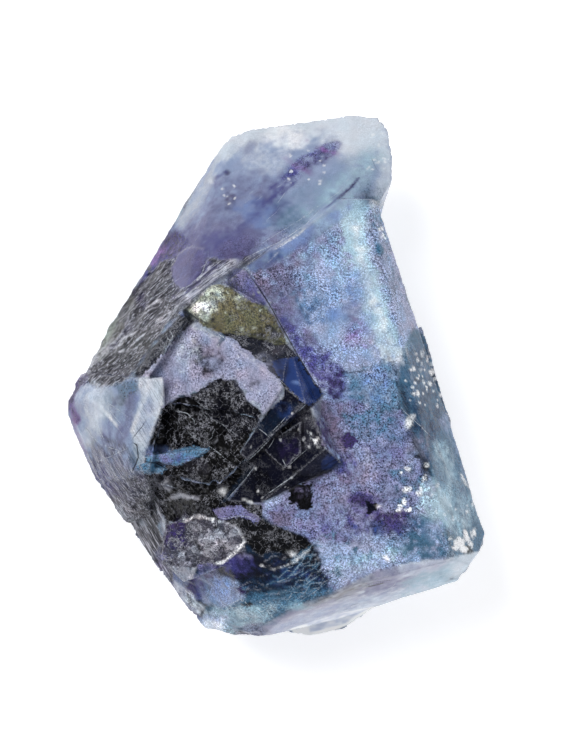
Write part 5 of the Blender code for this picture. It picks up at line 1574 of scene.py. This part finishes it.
class Graph:
    """Short calls for adding nodes to a tree."""

    def __init__(self, tree):
        self.tree = tree

    def node(self, kind, **settings):
        made = self.tree.nodes.new(kind)
        for name, value in settings.items():
            setattr(made, name, value)
        return made

    def wire(self, value, socket):
        if isinstance(value, bpy.types.NodeSocket):
            self.tree.links.new(value, socket)
        elif value is not None:
            socket.default_value = value

    def math(self, operation, a, b=None, clamp=False):
        made = self.node("ShaderNodeMath", operation=operation, use_clamp=clamp)
        self.wire(a, made.inputs[0])
        self.wire(b, made.inputs[1])
        return made.outputs[0]

    def times(self, a, b, **more):
        return self.math("MULTIPLY", a, b, **more)

    def plus(self, a, b, **more):
        return self.math("ADD", a, b, **more)

    def minus(self, a, b, **more):
        return self.math("SUBTRACT", a, b, **more)

    def most(self, a, b, **more):
        return self.math("MAXIMUM", a, b, **more)

    def vector(self, operation, a, b=None):
        made = self.node("ShaderNodeVectorMath", operation=operation)
        self.wire(a, made.inputs[0])
        self.wire(b, made.inputs["Scale"] if operation == "SCALE" else made.inputs[1])
        return made.outputs[0]

    def dot(self, a, b):
        made = self.node("ShaderNodeVectorMath", operation="DOT_PRODUCT")
        self.wire(a, made.inputs[0])
        self.wire(b, made.inputs[1])
        return made.outputs["Value"]

    def brightness(self, colour):
        made = self.node("ShaderNodeSeparateColor")
        self.wire(colour, made.inputs[0])
        return made.outputs[0]

    def step(self, value, low, high):
        made = self.node("ShaderNodeMapRange", interpolation_type="SMOOTHSTEP")
        self.wire(value, made.inputs["Value"])
        self.wire(low, made.inputs["From Min"])
        self.wire(high, made.inputs["From Max"])
        return made.outputs["Result"]

    def blend(self, factor, a, b, mode="MIX"):
        made = self.node("ShaderNodeMix", data_type="RGBA", blend_type=mode)
        self.wire(factor, made.inputs[0])
        self.wire(a, made.inputs[6])
        self.wire(b, made.inputs[7])
        return made.outputs[2]

    def attribute(self, name, output="Fac"):
        return self.node("ShaderNodeAttribute", attribute_name=name).outputs[output]


def shader_group(name, inputs, outputs):
    """An empty node group with named sockets, and the graph to fill it with."""
    tree = bpy.data.node_groups.new(name, "ShaderNodeTree")
    for label, kind, default in inputs:
        socket = tree.interface.new_socket(label, in_out="INPUT", socket_type=kind)
        if default is not None:
            socket.default_value = default
    for label, kind in outputs:
        tree.interface.new_socket(label, in_out="OUTPUT", socket_type=kind)
    graph = Graph(tree)
    return tree, graph, graph.node("NodeGroupInput").outputs, graph.node("NodeGroupOutput").inputs


def noise_field(g, vector, size, detail=2.0, shift=0.0):
    """Plain noise with bumps about one size apart."""
    made = g.node("ShaderNodeTexNoise")
    made.inputs["Detail"].default_value = detail
    made.inputs["Roughness"].default_value = 0.65
    g.wire(g.vector("ADD", vector, (shift, 2.0 * shift, -shift)), made.inputs["Vector"])
    g.wire(g.math("DIVIDE", 1.0, size), made.inputs["Scale"])
    return made.outputs["Fac"]


def speckle_group():
    """Fine bright curls and grains with dark gaps between them."""
    tree, g, given, out = shader_group(
        "mineral speckle",
        [("Vector", "NodeSocketVector", None), ("Grain Size", "NodeSocketFloat", 0.3)],
        [("Bright", "NodeSocketFloat"), ("Dark", "NodeSocketFloat"), ("Height", "NodeSocketFloat")])
    place, size = given["Vector"], given["Grain Size"]
    coarse = noise_field(g, place, size, 2.0, 5.0)
    middle = noise_field(g, place, g.times(size, 0.55), 2.0, 11.0)
    fine = noise_field(g, place, g.times(size, 0.3), 1.0, 23.0)
    curl = g.step(g.math("ABSOLUTE", g.minus(coarse, 0.5)), 0.034, 0.012)
    curl = g.times(curl, g.step(middle, 0.48, 0.52))
    grain = g.step(g.plus(g.times(middle, 0.5), g.times(fine, 0.5)), 0.55, 0.58)
    g.wire(g.most(curl, grain), out["Bright"])
    gap = g.plus(g.times(middle, 0.6), g.times(coarse, 0.4))
    split = noise_field(g, place, g.times(size, 1.6), 3.0, 37.0)
    split = g.math("ABSOLUTE", g.minus(split, 0.5))
    crack = g.times(g.step(split, 0.022, 0.008), g.step(fine, 0.42, 0.50))
    g.wire(g.most(crack, g.step(gap, 0.465, 0.440)), out["Dark"])
    g.wire(g.plus(g.times(middle, 0.7), g.times(fine, 0.3)), out["Height"])
    return tree


def net_group():
    """Thin curling crests, broken into short lengths, with bright crumbs gathered in drifts between them."""
    tree, g, given, out = shader_group(
        "curling crests",
        [("Vector", "NodeSocketVector", None), ("Cell Size", "NodeSocketFloat", 0.6),
         ("Crest Width", "NodeSocketFloat", 0.03)],
        [("Crest", "NodeSocketFloat"), ("Crumb", "NodeSocketFloat")])
    place, size = given["Vector"], given["Cell Size"]
    crests = []
    for shift in (3.1, 17.7):
        ridge = g.math("ABSOLUTE", g.minus(noise_field(g, place, size, 3.0, shift), 0.5))
        crests.append(g.step(ridge, given["Crest Width"], g.times(given["Crest Width"], 0.4)))
    curl = g.most(crests[0], crests[1])
    drifts = noise_field(g, place, g.times(size, 2.6), 3.0, 31.0)
    curl = g.times(curl, g.step(drifts, 0.49, 0.54))
    fleck = g.step(noise_field(g, place, g.times(size, 0.22), 1.0, 43.0), 0.65, 0.68)
    g.wire(g.most(curl, g.times(fleck, g.step(drifts, 0.49, 0.55))), out["Crest"])
    crumb = g.step(noise_field(g, place, g.times(size, 0.4), 3.0, 57.0), 0.55, 0.59)
    g.wire(g.times(crumb, g.step(drifts, 0.50, 0.56)), out["Crumb"])
    return tree


def square_group():
    """Blocks in line with the raised cube's edges: a steady value for each, and thin borders between."""
    tree, g, given, out = shader_group(
        "etched squares",
        [("Vector", "NodeSocketVector", None), ("Block Size", "NodeSocketFloat", 0.5)],
        [("Value", "NodeSocketFloat"), ("Border", "NodeSocketFloat")])
    place = g.vector("DIVIDE", given["Vector"], given["Block Size"])
    grid = g.node("ShaderNodeCombineXYZ")
    g.wire(g.dot(place, CUBE_ALONG), grid.inputs[0])
    g.wire(g.dot(place, CUBE_ACROSS), grid.inputs[1])
    reach = []
    for feature in ("F1", "F2"):
        made = g.node("ShaderNodeTexVoronoi", voronoi_dimensions="2D", distance="CHEBYCHEV", feature=feature)
        made.inputs["Scale"].default_value = 1.0
        made.inputs["Randomness"].default_value = 0.85
        g.wire(grid.outputs[0], made.inputs["Vector"])
        reach.append(made)
    g.wire(g.brightness(reach[0].outputs["Color"]), out["Value"])
    gap = g.minus(reach[1].outputs["Distance"], reach[0].outputs["Distance"])
    g.wire(g.step(gap, 0.07, 0.02), out["Border"])
    return tree


def fibre_group():
    """Long thin streaks along one direction in plan."""
    tree, g, given, out = shader_group(
        "fibres",
        [("Vector", "NodeSocketVector", None), ("Direction", "NodeSocketFloat", 0.0),
         ("Width", "NodeSocketFloat", 0.25), ("Length", "NodeSocketFloat", 4.0)],
        [("Bright", "NodeSocketFloat"), ("Dark", "NodeSocketFloat"), ("Height", "NodeSocketFloat")])
    turn = g.node("ShaderNodeVectorRotate", rotation_type="Z_AXIS", invert=True)
    g.wire(given["Vector"], turn.inputs["Vector"])
    g.wire(given["Direction"], turn.inputs["Angle"])
    size = g.node("ShaderNodeCombineXYZ")
    g.wire(given["Length"], size.inputs[0])
    g.wire(given["Width"], size.inputs[1])
    g.wire(g.times(given["Width"], 2.0), size.inputs[2])
    strand = g.node("ShaderNodeTexNoise")
    strand.inputs["Scale"].default_value = 1.0
    strand.inputs["Detail"].default_value = 4.0
    strand.inputs["Roughness"].default_value = 0.75
    strand.inputs["Distortion"].default_value = 0.25
    g.wire(g.vector("DIVIDE", turn.outputs[0], size.outputs[0]), strand.inputs["Vector"])
    g.wire(g.step(strand.outputs["Fac"], 0.55, 0.58), out["Bright"])
    g.wire(g.step(strand.outputs["Fac"], 0.49, 0.45), out["Dark"])
    g.wire(strand.outputs["Fac"], out["Height"])
    return tree


def hairline_group():
    """A sharp line where the signed distance passes through zero."""
    tree, g, given, out = shader_group(
        "hairline",
        [("Side", "NodeSocketFloat", 5.0), ("Half Width", "NodeSocketFloat", 0.0),
         ("Softness", "NodeSocketFloat", 0.45)],
        [("Mask", "NodeSocketFloat")])
    depth = g.minus(given["Half Width"], g.math("ABSOLUTE", given["Side"]))
    g.wire(g.math("DIVIDE", depth, given["Softness"], clamp=True), out["Mask"])
    return tree


def placed(g, tree, **values):
    """A group node with its values set; words in a socket's name are joined by underscores."""
    made = g.node("ShaderNodeGroup")
    made.node_tree = tree
    for name, value in values.items():
        g.wire(value, made.inputs[name.replace("_", " ")])
    return made.outputs


# ---- the crystal's material ---------------------------------------------------------------

# sizes of the fine patterns, mm: two grains, the net's cells, two blocks and the fibres
FINE_GRAIN, BROAD_GRAIN = 0.34, 0.55
NET_SIZE = 0.7
BLOCK_SIZE, CHIP_SIZE = 0.85, 0.33
FIBRE = {"Width": 0.14, "Length": 2.6}
# width of the net's crests, as a share of the noise they are cut from
CREST_WIDTH = 0.022
# how much more fibres and crests raise the bump than the grain does
FIBRE_BUMP = 1.5
# how much colour the clear crystal keeps at its surface, and the specular level of the clouded one
CLEAR_TINT = 0.3
CLOUDED_GLOSS = 0.15


def crystal_material(optics, tones):
    mat = bpy.data.materials.new("banded_fluorite")
    mat.use_nodes = True
    mat.node_tree.nodes.clear()
    g = Graph(mat.node_tree)

    def colour(name):
        return (*getattr(tones, name), 1.0)

    place = g.node("ShaderNodeTexCoord").outputs["Object"]
    place = g.vector("SCALE", place, 1 / MM)
    mark = {name: g.attribute(name) for name in MARKS}
    tint = g.attribute("tint", "Color")

    grain_tree = speckle_group()
    fine = placed(g, grain_tree, Vector=place, Grain_Size=FINE_GRAIN)
    broad = placed(g, grain_tree, Vector=place, Grain_Size=BROAD_GRAIN)
    net = placed(g, net_group(), Vector=place, Cell_Size=NET_SIZE, Crest_Width=CREST_WIDTH)
    squares = placed(g, square_group(), Vector=place, Block_Size=BLOCK_SIZE)
    chips_edge = placed(g, square_group(), Vector=place, Block_Size=CHIP_SIZE)
    fibre_tree = fibre_group()
    low = placed(g, fibre_tree, Vector=place, Direction=radians(LOWER_GRAIN), **FIBRE)
    high = placed(g, fibre_tree, Vector=place, Direction=radians(UPPER_GRAIN), **FIBRE)
    hair_tree = hairline_group()
    hair = {}
    for name in LINE_SETS:
        side, half = g.attribute(f"{name}_side"), g.attribute(f"{name}_half")
        hair[name] = placed(g, hair_tree, Side=side, Half_Width=half)["Mask"]

    def share(name, output):
        return g.times(mark[name], output)

    def shaded(layer, colour):
        return g.blend(1.0, layer, (*colour, 1.0), "MULTIPLY")

    notch = g.times(g.minus(chips_edge["Value"], 0.5), 2.6)
    notch = g.plus(notch, g.times(g.minus(fine["Height"], 0.5), 5.0))
    border = g.plus(g.attribute("inset_side"), notch)
    tint = g.blend(g.step(border, -0.2, 0.2), tint, g.attribute("inset", "Color"))

    bright_fibre = g.most(share("lower_fibre", low["Bright"]), share("upper_fibre", high["Bright"]))
    dark_fibre = g.most(share("lower_fibre", low["Dark"]), share("upper_fibre", high["Dark"]))
    dark_grain = g.most(share("pepper", fine["Dark"]), share("coarse", broad["Dark"]))
    bright_grain = g.most(share("salt", fine["Bright"]), share("coarse", broad["Bright"]))
    # the net's crests and the squares' borders are painted glints in silver; crumbs are a grey grain
    crest = share("web", net["Crest"])
    crumb = share("web", net["Crumb"])
    square = g.times(share("web", squares["Border"]), g.step(fine["Height"], 0.48, 0.56))
    sparkle = g.step(fine["Height"], 0.40, 0.52)
    white_line = g.most(hair["bright_line"], hair["bright_line_b"])
    white_line = g.times(white_line, sparkle)
    # convex crests painted silver: partly chipped wear, partly painted highlight
    edge = g.times(g.times(g.attribute("crest"), sparkle), g.step(mark["web"], 0.4, 0.0))
    hollow = g.attribute("hollow")

    base = g.blend(dark_grain, tint, shaded(tint, (0.14, 0.14, 0.22)))
    # bright grains: a lighter copy of the tint, painted glints
    base = g.blend(bright_grain, base, g.blend(1.0, g.vector("SCALE", tint, 2.3),
                                               (0.008, 0.008, 0.012, 1.0), "ADD"))
    base = g.blend(g.times(dark_fibre, 0.95), base, shaded(tint, (0.1, 0.1, 0.14)))
    # bright fibres are a painted sheen in silver
    base = g.blend(g.times(bright_fibre, 0.9), base, colour("silver"))
    # painted light in silver: glints on the net's crests and the squares' borders, highlights on convex
    # edges; grey crumbs are grain
    for mask, amount, name in ((crumb, 0.16, "smoke"), (square, 0.6, "silver"), (crest, 0.9, "silver"),
                               (edge, 0.35, "silver")):
        base = g.blend(g.times(mask, amount), base, colour(name))
    # painted shade: hollows darkened
    base = g.blend(g.times(hollow, 0.6), base, shaded(base, (0.25, 0.25, 0.35)))
    chips = g.times(mark["frost"], g.step(fine["Height"], 0.42, 0.54))
    base = g.blend(chips, base, colour("frost"))
    base = g.blend(g.times(hair["dark_line"], 0.85), base, colour("soot"))
    # bright hairlines in ice: partly chipped white, partly painted highlight
    base = g.blend(g.times(white_line, 0.7), base, colour("ice"))

    height = g.times(g.plus(mark["salt"], mark["pepper"]), fine["Height"])
    height = g.plus(height, g.times(FIBRE_BUMP, share("lower_fibre", low["Height"])))
    height = g.plus(height, g.times(FIBRE_BUMP, share("upper_fibre", high["Height"])))
    height = g.plus(height, g.times(FIBRE_BUMP, crest))
    height = g.plus(height, share("web", squares["Value"]))
    height = g.plus(height, white_line)
    height = g.minus(height, g.times(2.0, hair["dark_line"]))
    bump = g.node("ShaderNodeBump")
    bump.inputs["Strength"].default_value = 1.0
    bump.inputs["Distance"].default_value = optics.bump
    g.wire(height, bump.inputs["Height"])

    rough = g.plus(mark["rough"], g.times(chips, 0.3))
    rough = g.plus(rough, g.times(g.minus(fine["Height"], 0.5), 0.2), clamp=True)
    cloud = g.plus(mark["cloud"], g.times(bright_grain, 0.2))
    cloud = g.most(cloud, g.most(chips, g.most(white_line, hair["dark_line"])))
    cloud = g.math("MINIMUM", cloud, 1.0)

    clear = g.node("ShaderNodeBsdfPrincipled", name="clear crystal")
    clear.inputs["Transmission Weight"].default_value = 1.0
    clear.inputs["IOR"].default_value = optics.ior
    g.wire(g.blend(CLEAR_TINT, (1, 1, 1, 1), base), clear.inputs["Base Color"])
    g.wire(rough, clear.inputs["Roughness"])
    g.wire(bump.outputs[0], clear.inputs["Normal"])

    clouded = g.node("ShaderNodeBsdfPrincipled", name="clouded crystal")
    clouded.inputs["IOR"].default_value = optics.ior
    clouded.inputs["Specular IOR Level"].default_value = CLOUDED_GLOSS
    g.wire(base, clouded.inputs["Base Color"])
    g.wire(rough, clouded.inputs["Roughness"])
    g.wire(bump.outputs[0], clouded.inputs["Normal"])

    mixed = g.node("ShaderNodeMixShader")
    g.wire(cloud, mixed.inputs[0])
    g.wire(clear.outputs[0], mixed.inputs[1])
    g.wire(clouded.outputs[0], mixed.inputs[2])
    body = g.node("ShaderNodeVolumeAbsorption")
    body.inputs["Color"].default_value = (*optics.absorption, 1.0)
    body.inputs["Density"].default_value = optics.density
    output = g.node("ShaderNodeOutputMaterial")
    g.wire(mixed.outputs[0], output.inputs["Surface"])
    g.wire(body.outputs[0], output.inputs["Volume"])
    return mat


# ---- studio -------------------------------------------------------------------------------

# the floor: its radius in metres and rim points, and its paper's roughness, gloss, grain and darker fleck
FLOOR_RADIUS, FLOOR_POINTS = 3.0, 96
PAPER_ROUGHNESS, PAPER_GLOSS, PAPER_GRAIN, PAPER_FLECK = 0.9, 0.1, 900.0, 0.97
# each light: azimuth and elevation in degrees, distance and size in metres
KEY_LIGHT = (135, 55, 0.6, 0.3)
FILL_LIGHT = (-40, 45, 0.7, 0.5)
KEY_COLOUR, FILL_COLOUR = (1.0, 1.0, 1.0), (0.97, 0.98, 1.0)
# heights on the world's sphere where the walls end and the ceiling begins
WALL_END, CEILING_START = 0.45, 0.95
SENSOR_WIDTH = 36.0
CLIP_RANGE = (0.01, 10.0)


def studio_floor(studio):
    """A wide round floor of pale paper."""
    bm = bmesh.new()
    bmesh.ops.create_circle(bm, cap_ends=True, segments=FLOOR_POINTS, radius=FLOOR_RADIUS)
    mesh = bpy.data.meshes.new("studio_floor")
    bm.to_mesh(mesh)
    bm.free()
    floor = bpy.data.objects.new("studio_floor", mesh)
    bpy.context.scene.collection.objects.link(floor)
    mat = bpy.data.materials.new("studio_paper")
    mat.use_nodes = True
    g = Graph(mat.node_tree)
    paper = mat.node_tree.nodes["Principled BSDF"]
    paper.inputs["Roughness"].default_value = PAPER_ROUGHNESS
    paper.inputs["Specular IOR Level"].default_value = PAPER_GLOSS
    paper.inputs["Emission Color"].default_value = (1.0, 1.0, 1.0, 1.0)
    paper.inputs["Emission Strength"].default_value = studio.glow
    grain = g.node("ShaderNodeTexNoise")
    grain.inputs["Scale"].default_value = PAPER_GRAIN
    g.wire(g.node("ShaderNodeTexCoord").outputs["Object"], grain.inputs["Vector"])
    edge = tuple(PAPER_FLECK * c for c in studio.floor)
    g.wire(g.blend(grain.outputs["Fac"], (*edge, 1.0), (*studio.floor, 1.0)), paper.inputs["Base Color"])
    mesh.materials.append(mat)
    return floor


def soft_light(name, azimuth, elevation, reach, size, power, colour):
    lamp = bpy.data.lights.new(name, "AREA")
    lamp.shape = "SQUARE"
    lamp.size = size
    lamp.energy = power
    lamp.color = colour
    light = bpy.data.objects.new(name, lamp)
    away = direction(azimuth, elevation)
    light.location = reach * away
    light.rotation_euler = (-away).to_track_quat("-Z", "Y").to_euler()
    bpy.context.scene.collection.objects.link(light)
    return light


def studio_world(studio):
    """Bright walls all round and a dimmer ceiling."""
    world = bpy.data.worlds.new("studio")
    world.use_nodes = True
    bpy.context.scene.world = world
    g = Graph(world.node_tree)
    split = g.node("ShaderNodeSeparateXYZ")
    g.wire(g.node("ShaderNodeTexCoord").outputs["Generated"], split.inputs[0])
    overhead = g.step(split.outputs[2], WALL_END, CEILING_START)
    strength = g.plus(studio.ambient, g.times(overhead, studio.ceiling - studio.ambient))
    background = world.node_tree.nodes["Background"]
    background.inputs["Color"].default_value = (1.0, 1.0, 1.0, 1.0)
    g.wire(strength, background.inputs["Strength"])


def studio_camera(studio):
    cam = bpy.data.cameras.new("camera")
    cam.sensor_width = SENSOR_WIDTH
    aim = Vector(studio.aim)
    cam.lens = cam.sensor_width * (studio.distance - aim.z) / studio.frame_height
    cam.clip_start, cam.clip_end = CLIP_RANGE
    cam.dof.use_dof = False
    camera = bpy.data.objects.new("camera", cam)
    camera.location = (aim.x, aim.y, studio.distance)
    bpy.context.scene.collection.objects.link(camera)
    bpy.context.scene.camera = camera


# ---- operators and panel --------------------------------------------------------------------

class FLUORITE_OT_lump(bpy.types.Operator):
    """Build the fluorite lump in place of the plain solid"""

    bl_idname = "fluorite.lump"
    bl_label = "Fluorite Lump"

    def execute(self, context):
        scene = context.scene
        lump = worn_lump(scene.fluorite_shape, scene.fluorite_tones)
        lump.name = "fluorite_lump"
        lump.data.name = "fluorite_lump"
        lump.data.materials.clear()
        lump.data.materials.append(crystal_material(scene.fluorite_optics, scene.fluorite_tones))
        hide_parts(NODE)
        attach(lump, "root")
        return {"FINISHED"}


class FLUORITE_OT_studio(bpy.types.Operator):
    """Add the floor, the soft lights and the camera"""

    bl_idname = "fluorite.studio"
    bl_label = "Plain Studio"

    def execute(self, context):
        studio = context.scene.fluorite_studio
        studio_floor(studio)
        studio_world(studio)
        soft_light("key_light", *KEY_LIGHT, studio.key_power, KEY_COLOUR)
        soft_light("fill_light", *FILL_LIGHT, studio.fill_power, FILL_COLOUR)
        studio_camera(studio)
        context.scene.view_settings.view_transform = "Standard"
        return {"FINISHED"}


class FLUORITE_PT_panel(bpy.types.Panel):
    """Settings and build buttons"""

    bl_label = "Fluorite"
    bl_idname = "FLUORITE_PT_panel"
    bl_space_type = "VIEW_3D"
    bl_region_type = "UI"
    bl_category = "Fluorite"

    def draw(self, context):
        for name in ("fluorite_shape", "fluorite_optics", "fluorite_studio", "fluorite_tones"):
            group = getattr(context.scene, name)
            box = self.layout.box()
            for prop in group.__annotations__:
                box.prop(group, prop)
        self.layout.operator(FLUORITE_OT_lump.bl_idname)
        self.layout.operator(FLUORITE_OT_studio.bl_idname)


CLASSES = (FLUORITE_PG_tones, FLUORITE_PG_shape, FLUORITE_PG_optics, FLUORITE_PG_studio, FLUORITE_OT_lump,
           FLUORITE_OT_studio, FLUORITE_PT_panel)
SETTINGS = {"fluorite_tones": FLUORITE_PG_tones, "fluorite_shape": FLUORITE_PG_shape,
            "fluorite_optics": FLUORITE_PG_optics, "fluorite_studio": FLUORITE_PG_studio}


def register():
    for cls in CLASSES:
        bpy.utils.register_class(cls)
    for name, group in SETTINGS.items():
        setattr(bpy.types.Scene, name, PointerProperty(type=group))


def unregister():
    for name in SETTINGS:
        delattr(bpy.types.Scene, name)
    for cls in reversed(CLASSES):
        bpy.utils.unregister_class(cls)


def main():
    register()
    bpy.ops.fluorite.lump()
    bpy.ops.fluorite.studio()


if __name__ == "__main__":
    main()
